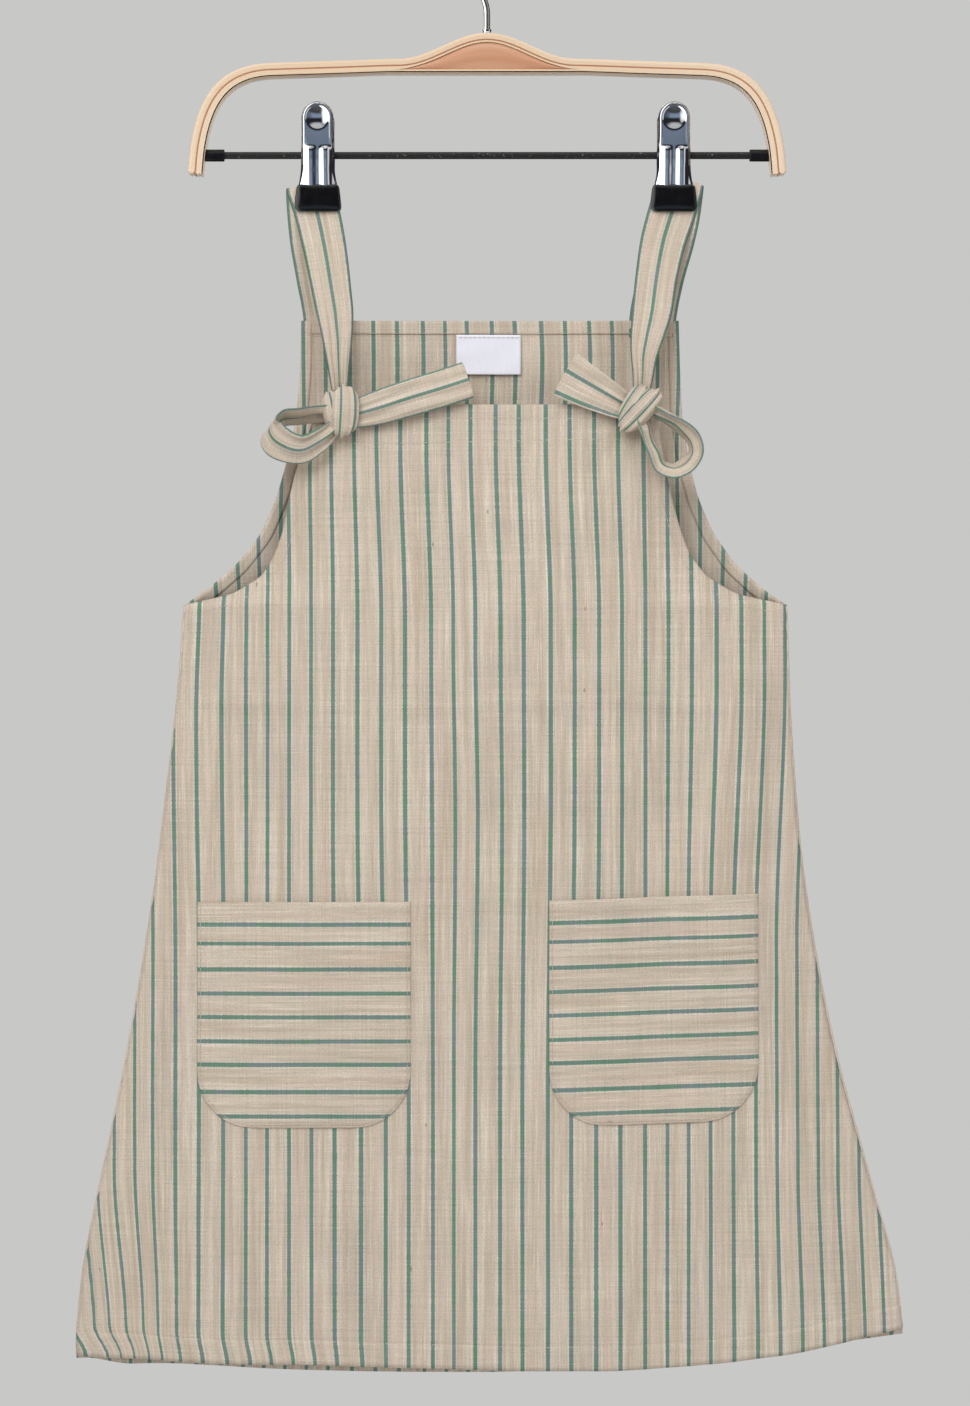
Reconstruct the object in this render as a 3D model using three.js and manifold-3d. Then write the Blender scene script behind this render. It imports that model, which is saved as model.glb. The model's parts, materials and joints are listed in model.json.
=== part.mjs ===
// A child's pinafore dress hung by its shoulder straps from a laminated wooden clip hanger.
// Millimetres, +Z up, +X to the right as seen from the front, the front faces -Y.
// The origin is the inner top of the hook, where it rests on a rail.

import * as THREE from 'three';
import { mergeVertices } from 'three/addons/utils/BufferGeometryUtils.js';
import Module from 'manifold-3d';

const wasm = await Module();
wasm.setup();

// ---------------------------------------------------------------- driving dimensions

const GAP = 0.3; // air between pieces that rest on each other

const WIRE_R = 2; // hook wire
const HOOK_BEND_R = 21; // centreline of the big bend
const HOOK_NECK_R = 20; // centreline of the small bend above the wood
const HOOK_NECK_ANGLE = THREE.MathUtils.degToRad(60.8);
const HOOK_TIP_ANGLE = THREE.MathUtils.degToRad(-20);
const HOOK_STRAIGHT = 11; // straight wire above the wood
const HOOK_HEAD = { r: 3.6, height: 2, depth: 12.5 }; // peened head, its top this deep below the wood's top

const WOOD_TOP = -65.8;
const WOOD_DEPTH = 12;
const ARM_TOP = -80.1; // top of the arms beside the hump
const HUMP_HALF = 49;
const SHOULDER = new THREE.Vector2(119, -82.4); // where the arm begins to bend down
const SHOULDER_PULL = new THREE.Vector2(146, -83.3);
const LEG_PULL = new THREE.Vector2(158.6, -98.1);
const LEG = new THREE.Vector2(163.4, -127.7); // where the bend ends and the straight leg begins
const LEG_END = new THREE.Vector2(165, -143.4);
const UPPER_STRIP = [0, 3.4]; // depths below the top outline
const GLUE_CORE = [3.65, 4.05];
const LOWER_STRIP = [4.3, 7.7];
const LEG_SWELL = 0.13; // the legs are this share thicker than the arms
const INFILL_TOP = 5.2; // depth of the infill's opening below the top outline
const INFILL_FLOOR = -86.1;
const CENTRE_BOTTOM = -88;
const STEM_HOLE_R = WIRE_R + GAP;

const BAR_Z = -132.8;
const BAR_R = 2;
const BAR_HALF = 152;
const BUSH = { r: 3.35, inner: 144.7, outer: 157.2 };

const CLIP_X = { left: -93.2, right: 102.9 };
const PLATE = 0.8; // clip sheet steel
const CLIP_HEAD = { r: 8.5, z: 20.1 };
const TIP_TOP = -17;
const TIP_BOTTOM = -31.7;
// a jaw from its foot to its head: distance from the bar's axis and height above it
const JAW_PROFILE = [[3.05, -30.9], [3.05, -17], [7, -5], [7.6, 0], [12.3, 28.6]];
const JAW_FOOT_HALF = 10.5; // half the jaw's width inside the tip
const JAW_WAIST_HALF = 8.9;
const JAW_REACH = 20; // a length beyond every edge of a jaw, for the blocks it is cut with
const EAR = { front: 6.6, back: 7.8, ring: 4.2, hole: BAR_R + 0.25 };

const CLOTH = 1.2; // panel thickness, two layers of cloth at the edges
const FACING = 0.8;
const FACING_AIR = 0.9; // air between a panel and what lies flat on it, wider than GAP for the facets
const STRAP = 1; // a tie is a turned tube pressed flat
const FOLD_R = GAP / 2 + STRAP / 2; // the strap folds over in the clip's jaws
const FOLD_TOP = -150.5;
const TIP_LINE = -165.5;

const BACK_TOP = -223.1;
const BIB_TOP = -270.9;
const UNDERARM = -380.9;
const HEM = -802.6; // the hem's lowest point
const HEM_LOW_X = 62;
const HEM_ENDS = { left: { x: -227, rise: 5.9 }, right: { x: 229, rise: 20.9 } };
const SEAM_Y = 0.95; // half the distance between the panels' middles at a side seam

// ---------------------------------------------------------------- helpers

const clamp01 = (t) => Math.min(1, Math.max(0, t));
const mix = (a, b, t) => a + (b - a) * t;

function smoothStep(a, b, value) {
  const t = clamp01((value - a) / (b - a));
  return t * t * (3 - 2 * t);
}

function finish(name, geometry, look) {
  const mesh = new THREE.Mesh(geometry, new THREE.MeshStandardMaterial(look));
  mesh.name = name;
  return mesh;
}

function solidOf(geometry) {
  const bare = geometry.clone();
  bare.deleteAttribute('normal');
  bare.deleteAttribute('uv');
  const merged = mergeVertices(bare, 1e-4);
  return new wasm.Manifold(new wasm.Mesh({
    numProp: 3,
    vertProperties: new Float32Array(merged.attributes.position.array),
    triVerts: new Uint32Array(merged.index.array),
  }));
}

function geometryOf(solid) {
  const mesh = solid.getMesh();
  const geometry = new THREE.BufferGeometry();
  geometry.setAttribute('position', new THREE.BufferAttribute(mesh.vertProperties, 3));
  geometry.setIndex(new THREE.BufferAttribute(mesh.triVerts, 1));
  geometry.computeVertexNormals();
  return geometry;
}

// An outline drawn in x and z, made solid from y = back to y = front (front is smaller).
function slab(shape, front, back, curveSegments = 10) {
  const geometry = new THREE.ExtrudeGeometry(shape, {
    depth: back - front,
    bevelEnabled: false,
    curveSegments,
  });
  geometry.rotateX(Math.PI / 2);
  geometry.translate(0, back, 0);
  return geometry;
}

// An outline drawn in y and z, made solid from x = left to x = right.
function slabAcross(points, left, right) {
  const shape = new THREE.Shape(points.map(([y, z]) => new THREE.Vector2(y, z)));
  const geometry = new THREE.ExtrudeGeometry(shape, { depth: right - left, bevelEnabled: false });
  geometry.applyMatrix4(new THREE.Matrix4().set(0, 0, 1, left, 1, 0, 0, 0, 0, 1, 0, 0, 0, 0, 0, 1));
  return geometry;
}

function rod(radius, from, to, sides = 20) {
  const length = from.distanceTo(to);
  const geometry = new THREE.CylinderGeometry(radius, radius, length, sides);
  const along = to.clone().sub(from).normalize();
  geometry.applyQuaternion(new THREE.Quaternion().setFromUnitVectors(new THREE.Vector3(0, 1, 0), along));
  geometry.translate(...from.clone().add(to).multiplyScalar(0.5).toArray());
  return geometry;
}

// A box of nu by nv cells bent into shape: place(a, b, c) gives the point for a and b in -1..1 across
// and up, and c in -0.5..0.5 through the thickness.
function bentSheet(nu, nv, place) {
  const geometry = new THREE.BoxGeometry(2, 1, 2, nu, 1, nv);
  const position = geometry.attributes.position;
  for (let i = 0; i < position.count; i += 1) {
    const p = place(position.getX(i), position.getZ(i), position.getY(i));
    position.setXYZ(i, p.x, p.y, p.z);
  }
  return geometryOf(solidOf(geometry));
}

// x as a smooth function of z through a few [z, x] points in falling z.
function profile(points) {
  return (z) => {
    const last = points.length - 1;
    if (z >= points[0][0]) return points[0][1];
    if (z <= points[last][0]) return points[last][1];
    const i = points.findIndex((p) => p[0] < z) - 1;
    const [z0, x0] = points[i];
    const [z1, x1] = points[i + 1];
    const before = points[Math.max(i - 1, 0)];
    const after = points[Math.min(i + 2, last)];
    const slopeIn = (x1 - before[1]) / (z1 - before[0]);
    const slopeOut = (after[1] - x0) / (after[0] - z0);
    const t = (z - z0) / (z1 - z0);
    const span = z1 - z0;
    const t2 = t * t;
    const t3 = t2 * t;
    return (2 * t3 - 3 * t2 + 1) * x0 + (t3 - 2 * t2 + t) * span * slopeIn
      + (3 * t2 - 2 * t3) * x1 + (t3 - t2) * span * slopeOut;
  };
}

// ---------------------------------------------------------------- looks

const BEECH = { color: 0xedd2b0, roughness: 0.5, metalness: 0 };
const GLUE = { color: 0x8a4d30, roughness: 0.7, metalness: 0 };
const CHERRY = { color: 0xc68a66, roughness: 0.25, metalness: 0 };
const PLATED = { color: 0xd8d8d0, roughness: 0.3, metalness: 1 };
const CHROME = { color: 0xe6e8ec, roughness: 0.08, metalness: 1 };
const BLACK_STEEL = { color: 0x2e302e, roughness: 0.35, metalness: 0.6 };
const BLACK_PLASTIC = { color: 0x0c0c0e, roughness: 0.3, metalness: 0 };
const VINYL = { color: 0x19191b, roughness: 0.2, metalness: 0 };
const LINEN = { color: 0xccbfb0, roughness: 0.9, metalness: 0 };
const LABEL = { color: 0xe4e4ef, roughness: 0.6, metalness: 0 };

// ---------------------------------------------------------------- hook

class HookCurve extends THREE.Curve {
  // From the head inside the wood, straight up, a small bend to the left, then the big bend over the rail.
  constructor() {
    super();
    this.start = WOOD_TOP - HOOK_HEAD.depth - HOOK_HEAD.height / 2;
    this.straight = WOOD_TOP + HOOK_STRAIGHT - this.start;
    this.neck = HOOK_NECK_R * HOOK_NECK_ANGLE;
    this.bend = HOOK_BEND_R * (Math.PI + HOOK_NECK_ANGLE - HOOK_TIP_ANGLE);
  }

  getPoint(t, target = new THREE.Vector3()) {
    let run = t * (this.straight + this.neck + this.bend);
    if (run < this.straight) return target.set(0, 0, this.start + run);
    run -= this.straight;
    const top = this.start + this.straight;
    if (run < this.neck) {
      const angle = run / HOOK_NECK_R;
      return target.set(HOOK_NECK_R * (Math.cos(angle) - 1), 0, top + HOOK_NECK_R * Math.sin(angle));
    }
    run -= this.neck;
    const angle = Math.PI + HOOK_NECK_ANGLE - run / HOOK_BEND_R;
    const both = HOOK_NECK_R + HOOK_BEND_R;
    const centreX = both * Math.cos(HOOK_NECK_ANGLE) - HOOK_NECK_R;
    const centreZ = top + both * Math.sin(HOOK_NECK_ANGLE);
    return target.set(centreX + HOOK_BEND_R * Math.cos(angle), 0, centreZ + HOOK_BEND_R * Math.sin(angle));
  }
}

function makeHook() {
  const curve = new HookCurve();
  const section = new THREE.Shape();
  section.absarc(0, 0, WIRE_R, 0, Math.PI * 2);
  const wire = new THREE.ExtrudeGeometry(section, { steps: 44, curveSegments: 6, extrudePath: curve });
  const tip = new THREE.SphereGeometry(WIRE_R, 12, 8);
  tip.translate(...curve.getPoint(1).toArray());
  const headTop = WOOD_TOP - HOOK_HEAD.depth;
  const head = rod(
    HOOK_HEAD.r,
    new THREE.Vector3(0, 0, headTop - HOOK_HEAD.height),
    new THREE.Vector3(0, 0, headTop),
    20,
  );
  const solid = solidOf(wire).add(solidOf(tip)).add(solidOf(head));
  return finish('hook_wire', geometryOf(solid), PLATED);
}

// A turned ring about the z axis.
function ring(inner, outer, bottom, top, segments = 20) {
  const corners = [[inner, bottom], [outer, bottom], [outer, top], [inner, top], [inner, bottom]];
  const geometry = new THREE.LatheGeometry(corners.map(([r, z]) => new THREE.Vector2(r, z)), segments);
  geometry.rotateX(Math.PI / 2);
  return geometryOf(solidOf(geometry));
}

// ---------------------------------------------------------------- laminated wooden frame

function topHeight(x) {
  const rise = WOOD_TOP - ARM_TOP;
  return ARM_TOP + rise * 0.5 * (1 + Math.cos(Math.PI * Math.min(1, Math.abs(x) / HUMP_HALF)));
}

// The top outline of the right half from the centre to the end of the leg.
function topOutlineHalf() {
  const points = [];
  const humpSteps = 12;
  for (let i = 0; i <= humpSteps; i += 1) {
    const x = (HUMP_HALF * i) / humpSteps;
    points.push(new THREE.Vector2(x, topHeight(x)));
  }
  points.push(new THREE.Vector2(84, mix(ARM_TOP, SHOULDER.y, 0.5)));
  const bend = new THREE.CubicBezierCurve(SHOULDER, SHOULDER_PULL, LEG_PULL, LEG);
  points.push(...bend.getSpacedPoints(10));
  points.push(LEG_END.clone());
  return points;
}

const RIGHT_HALF = topOutlineHalf();
const LEFT_HALF = RIGHT_HALF.slice(1).reverse().map((p) => new THREE.Vector2(-p.x, p.y));
const TOP_OUTLINE = [...LEFT_HALF, ...RIGHT_HALF];

function insetOutline(depth) {
  return TOP_OUTLINE.map((p, i) => {
    const before = TOP_OUTLINE[Math.max(i - 1, 0)];
    const after = TOP_OUTLINE[Math.min(i + 1, TOP_OUTLINE.length - 1)];
    const along = after.clone().sub(before).normalize();
    const reach = depth * (1 + LEG_SWELL * smoothStep(SHOULDER.x, LEG.x, Math.abs(p.x)));
    return new THREE.Vector2(p.x + along.y * reach, p.y - along.x * reach);
  });
}

// The half-round end of a strip, from its outer corner to its inner corner.
function roundEnd(outer, inner, steps = 4) {
  const centre = outer.clone().add(inner).multiplyScalar(0.5);
  const arm = outer.clone().sub(centre);
  const points = [];
  for (let i = 1; i < steps; i += 1) {
    points.push(arm.clone().rotateAround(new THREE.Vector2(), -(Math.PI * i) / steps).add(centre));
  }
  return points;
}

function stripShape(outer, inner) {
  const last = outer.length - 1;
  const points = [
    ...outer,
    ...roundEnd(outer[last], inner[last]),
    ...[...inner].reverse(),
    ...roundEnd(inner[0], outer[0]),
  ];
  return new THREE.Shape(points.reverse());
}

// The lens-shaped opening under the hump; trim shrinks it all round for the piece that fills it.
function lensShape(trim) {
  const steps = 16;
  const half = HUMP_HALF - 2;
  const top = [];
  for (let i = 0; i <= steps; i += 1) {
    const x = mix(-half, half, i / steps);
    const thin = 0.9 * (Math.abs(x) / half) ** 4;
    top.push(new THREE.Vector2(x, topHeight(x) - INFILL_TOP - thin - trim));
  }
  const floor = INFILL_FLOOR + trim;
  const kept = top.filter((p) => p.y > floor + 0.25 + 2 * trim);
  const left = kept[0];
  const right = kept[kept.length - 1];
  const toe = 1 - 4 * trim;
  const toes = [new THREE.Vector2(left.x - toe, floor), new THREE.Vector2(right.x + toe, floor)];
  return [...toes, ...kept.reverse()];
}

function stemHole() {
  return solidOf(rod(STEM_HOLE_R, new THREE.Vector3(0, 0, WOOD_TOP - 9), new THREE.Vector3(0, 0, 0)));
}

function makeWood() {
  const half = WOOD_DEPTH / 2;
  const [upper, core] = [UPPER_STRIP, GLUE_CORE].map(([top, foot]) => {
    const shape = stripShape(insetOutline(top), insetOutline(foot));
    return solidOf(slab(shape, -half, half));
  });

  const bottom = insetOutline(LOWER_STRIP[1]).map((p) => {
    const flat = Math.abs(p.x) < HUMP_HALF + 6 && p.y > BAR_Z + 30;
    return flat ? new THREE.Vector2(p.x, CENTRE_BOTTOM - 0.005 * Math.abs(p.x)) : p;
  });
  const lowerShape = stripShape(insetOutline(LOWER_STRIP[0]), bottom);
  lowerShape.holes.push(new THREE.Path(lensShape(0)));
  let lower = solidOf(slab(lowerShape, -half, half));
  for (const side of [-1, 1]) {
    const from = new THREE.Vector3(side * (BUSH.outer + GAP), 0, BAR_Z);
    const to = new THREE.Vector3(side * (BUSH.inner - 5), 0, BAR_Z);
    lower = lower.subtract(solidOf(rod(BUSH.r + GAP, from, to)));
  }

  const washerTop = WOOD_TOP - HOOK_HEAD.depth + 1 + 2 * GAP;
  const chamber = rod(
    HOOK_HEAD.r + 0.9,
    new THREE.Vector3(0, 0, INFILL_FLOOR - 1),
    new THREE.Vector3(0, 0, washerTop + GAP),
  );
  const infillHole = rod(STEM_HOLE_R, new THREE.Vector3(0, 0, washerTop - 2), new THREE.Vector3(0, 0, 0));
  const infill = solidOf(slab(new THREE.Shape(lensShape(GAP)), -half, half))
    .subtract(solidOf(chamber))
    .subtract(solidOf(infillHole));

  return [
    finish('wood_upper_strip', geometryOf(upper.subtract(stemHole())), BEECH),
    finish('wood_glue_core', geometryOf(core.subtract(stemHole())), GLUE),
    finish('wood_lower_strip', geometryOf(lower.subtract(stemHole())), BEECH),
    finish('wood_infill', geometryOf(infill), CHERRY),
    finish('hook_ferrule', ring(STEM_HOLE_R, STEM_HOLE_R + 0.5, WOOD_TOP + GAP, WOOD_TOP + 2.4), CHROME),
    finish('hook_washer', ring(STEM_HOLE_R, HOOK_HEAD.r + 0.5, washerTop - 1, washerTop), PLATED),
  ];
}

function makeBar() {
  const bar = rod(BAR_R, new THREE.Vector3(-BAR_HALF, 0, BAR_Z), new THREE.Vector3(BAR_HALF, 0, BAR_Z), 16);
  const pieces = [finish('trouser_bar', bar, BLACK_STEEL)];
  const boreR = BAR_R + 0.25;
  const cup = [
    [0, BUSH.outer], [BUSH.r, BUSH.outer], [BUSH.r, BUSH.inner + 0.5], [BUSH.r - 0.5, BUSH.inner],
    [boreR, BUSH.inner], [boreR, BAR_HALF + GAP], [0, BAR_HALF + GAP],
  ];
  for (const [name, side] of [['bar_bush_left', -1], ['bar_bush_right', 1]]) {
    const points = cup.map(([r, along]) => new THREE.Vector2(r, -along));
    const geometry = new THREE.LatheGeometry(points, 20);
    geometry.rotateZ((side * Math.PI) / 2);
    geometry.translate(0, 0, BAR_Z);
    pieces.push(finish(name, geometryOf(solidOf(geometry)), BLACK_PLASTIC));
  }
  return pieces;
}

// ---------------------------------------------------------------- clips

function jawOutline() {
  const shape = new THREE.Shape();
  const foot = JAW_PROFILE[0][1];
  shape.moveTo(-JAW_FOOT_HALF, foot);
  shape.lineTo(JAW_FOOT_HALF, foot);
  shape.lineTo(JAW_FOOT_HALF, TIP_TOP);
  shape.bezierCurveTo(9.6, -12, 9, -8.5, JAW_WAIST_HALF, 0);
  shape.lineTo(8.3, 11);
  shape.absarc(0, CLIP_HEAD.z, CLIP_HEAD.r, -0.2, Math.PI + 0.2, false);
  shape.lineTo(-JAW_WAIST_HALF, 0);
  shape.bezierCurveTo(-9, -8.5, -9.6, -12, -JAW_FOOT_HALF, TIP_TOP);
  shape.closePath();
  return shape;
}

// side is -1 for the front jaw and 1 for the back one.
function makeJaw(name, side, earX) {
  const middle = JAW_PROFILE.map(([y, z]) => new THREE.Vector2(y, z));
  const offset = middle.map((_, i) => {
    const before = middle[Math.max(i - 1, 0)];
    const after = middle[Math.min(i + 1, middle.length - 1)];
    const along = after.clone().sub(before).normalize();
    return new THREE.Vector2(along.y, -along.x).multiplyScalar(PLATE / 2);
  });
  const outer = middle.map((p, i) => [side * (p.x + offset[i].x), p.y + offset[i].y]);
  const inner = middle.map((p, i) => [side * (p.x - offset[i].x), p.y - offset[i].y]);
  const section = [...outer, ...inner.reverse()];
  const sheet = solidOf(slabAcross(side > 0 ? section : section.reverse(), -JAW_REACH, JAW_REACH));
  let solid = sheet.intersect(solidOf(slab(jawOutline(), -JAW_REACH, JAW_REACH, 8)));

  const barEnds = [-JAW_REACH, JAW_REACH].map((x) => new THREE.Vector3(x, 0, 0));
  const bar = solidOf(rod(EAR.hole, ...barEnds, 16));
  for (const x of [-earX, earX]) {
    const from = new THREE.Vector3(x - PLATE / 2, 0, 0);
    const to = new THREE.Vector3(x + PLATE / 2, 0, 0);
    const eye = solidOf(rod(EAR.ring, from, to, 16));
    const web = [[0, -EAR.ring], [7.1, -4.4], [7.7, 4], [0, EAR.ring]].map(([y, z]) => [side * y, z]);
    const plate = solidOf(slabAcross(side > 0 ? web : web.reverse(), x - PLATE / 2, x + PLATE / 2));
    solid = solid.add(eye.add(plate));
  }
  return finish(name, geometryOf(solid.subtract(bar)), CHROME);
}

function makeSpring(name) {
  const thickness = 0.6;
  const r = BAR_R + 0.5;
  const legTop = [9.2, 19.5];
  const outer = [];
  const inner = [];
  for (let i = 0; i <= 8; i += 1) {
    const angle = mix(Math.PI * 1.05, Math.PI * 1.95, i / 8);
    outer.push([(r + thickness) * Math.cos(angle), (r + thickness) * Math.sin(angle)]);
    inner.push([r * Math.cos(angle), r * Math.sin(angle)]);
  }
  const leg = [[-legTop[0], legTop[1]], [-legTop[0] + thickness, legTop[1]]];
  const legRight = [[legTop[0] - thickness, legTop[1]], [legTop[0], legTop[1]]];
  const section = [leg[0], ...outer, legRight[1], legRight[0], ...inner.reverse(), leg[1]];
  return finish(name, slabAcross(section, -4.5, 4.5), BLACK_STEEL);
}

function makeTip(name, side) {
  const block = new THREE.Shape();
  const corner = 2.2;
  const [topHalf, bottomHalf] = [11.2, 12.7];
  block.moveTo(-bottomHalf + corner, TIP_BOTTOM);
  block.lineTo(bottomHalf - corner, TIP_BOTTOM);
  block.quadraticCurveTo(bottomHalf, TIP_BOTTOM, bottomHalf, TIP_BOTTOM + corner);
  block.lineTo(topHalf + 0.6, TIP_TOP - 2);
  block.quadraticCurveTo(topHalf + 0.5, TIP_TOP, topHalf - 0.8, TIP_TOP);
  block.lineTo(-topHalf + 0.8, TIP_TOP);
  block.quadraticCurveTo(-topHalf - 0.5, TIP_TOP, -topHalf - 0.6, TIP_TOP - 2);
  block.lineTo(-bottomHalf, TIP_BOTTOM + corner);
  block.quadraticCurveTo(-bottomHalf, TIP_BOTTOM, -bottomHalf + corner, TIP_BOTTOM);
  const inside = STRAP + GAP / 2 + GAP;
  const outside = 4.65;
  const [front, back] = side < 0 ? [-outside, -inside] : [inside, outside];
  const slotHalf = JAW_FOOT_HALF + GAP;
  const slotY = PLATE / 2 + GAP;
  const middle = side * JAW_PROFILE[0][0];
  const slot = new THREE.BoxGeometry(2 * slotHalf, 2 * slotY, 40);
  slot.translate(0, middle, JAW_PROFILE[0][1] - GAP + 20);
  const solid = solidOf(slab(block, front, back, 4)).subtract(solidOf(slot));
  return finish(name, geometryOf(solid), VINYL);
}

function makeClip(side) {
  const clip = new THREE.Group();
  clip.add(
    makeJaw(`${side}_clip_back_jaw`, 1, EAR.back),
    makeJaw(`${side}_clip_front_jaw`, -1, EAR.front),
    makeSpring(`${side}_clip_spring`),
    makeTip(`${side}_clip_back_tip`, 1),
    makeTip(`${side}_clip_front_tip`, -1),
  );
  clip.position.set(CLIP_X[side], 0, BAR_Z);
  return clip;
}

// ---------------------------------------------------------------- garment surfaces

const SIDE_LEFT = [[UNDERARM, -167], [-430, -170.5], [-477, -176], [-527, -182], [-593, -192], [-642, -201],
  [-692, -211], [-741, -221.5], [-785, -227.2], [HEM, -227.5]];
const SIDE_RIGHT = [[UNDERARM, 165.4], [-430, 166.8], [-477, 169.5], [-527, 173.8], [-593, 184], [-642, 194],
  [-692, 207], [-741, 219.5], [-782, 228.8], [HEM, 229.5]];
const FRONT_LEFT = [[BIB_TOP, -92.4], [-306.7, -105], [-321, -108.4], [-345.7, -114], [-365.5, -124.5],
  [-374.3, -139], [-378.5, -153], [UNDERARM, -167]];
const FRONT_RIGHT = [[BIB_TOP, 92.4], [-300.6, 97.1], [-314.7, 99.9], [-335.1, 105], [-351.2, 110.8],
  [-360.3, 116.4], [-369.4, 126.2], [-374.9, 137.5], [-378.5, 151], [UNDERARM, 165.4]];
const BACK_LEFT = [[BACK_TOP, -102.9], [-268.2, -104.5], [-306.7, -112.2], [-339.7, -123.8],
  [-364.4, -144.1], [UNDERARM, -167]];
const BACK_RIGHT = [[BACK_TOP, 106.2], [-281.9, 108.4], [-308.9, 113.6], [-323.2, 117.2], [-343.5, 126.2],
  [-358.9, 137.5], [-371.6, 151.5], [UNDERARM, 165.4]];

const sideLeft = profile(SIDE_LEFT);
const sideRight = profile(SIDE_RIGHT);

// The hem is lowest right of the middle and rises a little to the left and more to the right.
function hemHeight(x) {
  return x < HEM_LOW_X
    ? HEM + HEM_ENDS.left.rise * ((x - HEM_LOW_X) / (HEM_ENDS.left.x - HEM_LOW_X))
    : HEM + HEM_ENDS.right.rise * ((x - HEM_LOW_X) / (HEM_ENDS.right.x - HEM_LOW_X)) ** 1.7;
}

// One panel's shape: its side edges, its top, and how deep it stands at its middle and its free edges.
function makePanelMap(armLeft, armRight, top, sign, depthTop, depthArm, depthHem, freeEdge) {
  const left = profile(armLeft);
  const right = profile(armRight);
  const edges = (z) => (z > UNDERARM ? [left(z), right(z)] : [sideLeft(z), sideRight(z)]);
  const depthAt = (z) => (z > UNDERARM
    ? mix(depthArm, depthTop, (z - UNDERARM) / (top - UNDERARM))
    : mix(depthArm, depthHem, smoothStep(UNDERARM, HEM, z)));
  const surface = (x, z) => {
    const [xl, xr] = edges(z);
    const across = Math.min(1, Math.abs((2 * x - xl - xr) / (xr - xl)));
    const open = SEAM_Y + (freeEdge - SEAM_Y) * smoothStep(UNDERARM, mix(UNDERARM, top, 0.75), z);
    return sign * (open + (depthAt(z) - open) * (1 - across ** 4));
  };
  return { left, right, edges, top, sign, surface };
}

const FRONT = makePanelMap(FRONT_LEFT, FRONT_RIGHT, BIB_TOP, -1, 11, 14, 20, 10);
const BACK = makePanelMap(BACK_LEFT, BACK_RIGHT, BACK_TOP, 1, 10, 17, 22, 9);

// Distance down the panel, -1 at the hem and 1 at the top, to a height, with a row exactly at the underarm.
function rowHeight(panel, b, x) {
  const armShare = 0.4;
  const down = (1 - b) / 2;
  if (down < armShare) return mix(panel.top, UNDERARM, 1 - (1 - down / armShare) ** 1.4);
  return mix(UNDERARM, hemHeight(x), (down - armShare) / (1 - armShare));
}

function makePanel(name, panel) {
  const geometry = bentSheet(14, 20, (a, b, c) => {
    const level = rowHeight(panel, b, 0);
    const [xl, xr] = panel.edges(level);
    const x = mix(xl, xr, (a + 1) / 2);
    const z = rowHeight(panel, b, x);
    return new THREE.Vector3(x, panel.surface(x, z) + c * CLOTH, z);
  });
  return finish(name, geometry, LINEN);
}

// A strip of cloth lying on the inside of a panel, under its top edge.
function makeTopFacing(name, panel, height) {
  const inset = CLOTH / 2 + FACING_AIR + FACING / 2;
  const geometry = bentSheet(14, 2, (a, b, c) => {
    const z = panel.top - 1 - (height * (1 - b)) / 2;
    const margin = 8;
    const x = mix(panel.left(z) + margin, panel.right(z) - margin, (a + 1) / 2);
    return new THREE.Vector3(x, panel.surface(x, z) - panel.sign * inset + c * FACING, z);
  });
  return finish(name, geometry, LINEN);
}

// A narrow strip on the inside of a panel along one armhole edge.
function makeArmholeFacing(name, panel, right) {
  const edge = right ? panel.right : panel.left;
  const inward = right ? -1 : 1;
  const width = 6;
  const inset = CLOTH / 2 + FACING_AIR + FACING / 2;
  const low = UNDERARM + 9;
  const point = (t) => {
    const z = mix(low, panel.top - 1, t ** 1.3);
    return new THREE.Vector2(edge(z), z);
  };
  const geometry = bentSheet(1, 14, (a, b, c) => {
    const t = (b + 1) / 2;
    const here = point(t);
    const along = point(Math.min(1, t + 0.02)).sub(point(Math.max(0, t - 0.02))).normalize();
    const across = 0.4 + (width * (1 + a * inward)) / 2;
    const x = here.x + inward * along.y * across;
    const z = here.y - inward * along.x * across;
    return new THREE.Vector3(x, panel.surface(x, z) - panel.sign * inset + c * FACING, z);
  });
  return finish(name, geometry, LINEN);
}

function makePocket(name, left, right, top, bottom) {
  const corner = 31;
  const proud = 8;
  const half = (right - left) / 2;
  const middle = (right + left) / 2;
  const geometry = bentSheet(10, 10, (a, b, c) => {
    const z = mix(bottom, top, (b + 1) / 2);
    const above = Math.max(0, corner - (z - bottom));
    const cut = corner - Math.sqrt(corner * corner - above * above);
    const x = middle + a * (half - cut);
    const bulge = proud * (1 - a ** 6) * (1 - ((1 - b) / 2) ** 6);
    const y = FRONT.surface(x, z) - (CLOTH + FACING) / 2 - 2 * GAP - bulge;
    return new THREE.Vector3(x, y + c * FACING, z);
  });
  return finish(name, geometry, LINEN);
}

function makeLabel() {
  const [left, right, top, bottom] = [-17, 18.7, -231, -252.2];
  const inset = CLOTH / 2 + FACING_AIR + FACING + GAP + 0.35;
  const geometry = bentSheet(6, 4, (a, b, c) => {
    const x = mix(left, right, (a + 1) / 2);
    const z = mix(bottom, top, (b + 1) / 2);
    return new THREE.Vector3(x, BACK.surface(x, z) - inset + c * 0.7, z);
  });
  return finish('size_label', geometry, LABEL);
}

// ---------------------------------------------------------------- straps and bows

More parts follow.
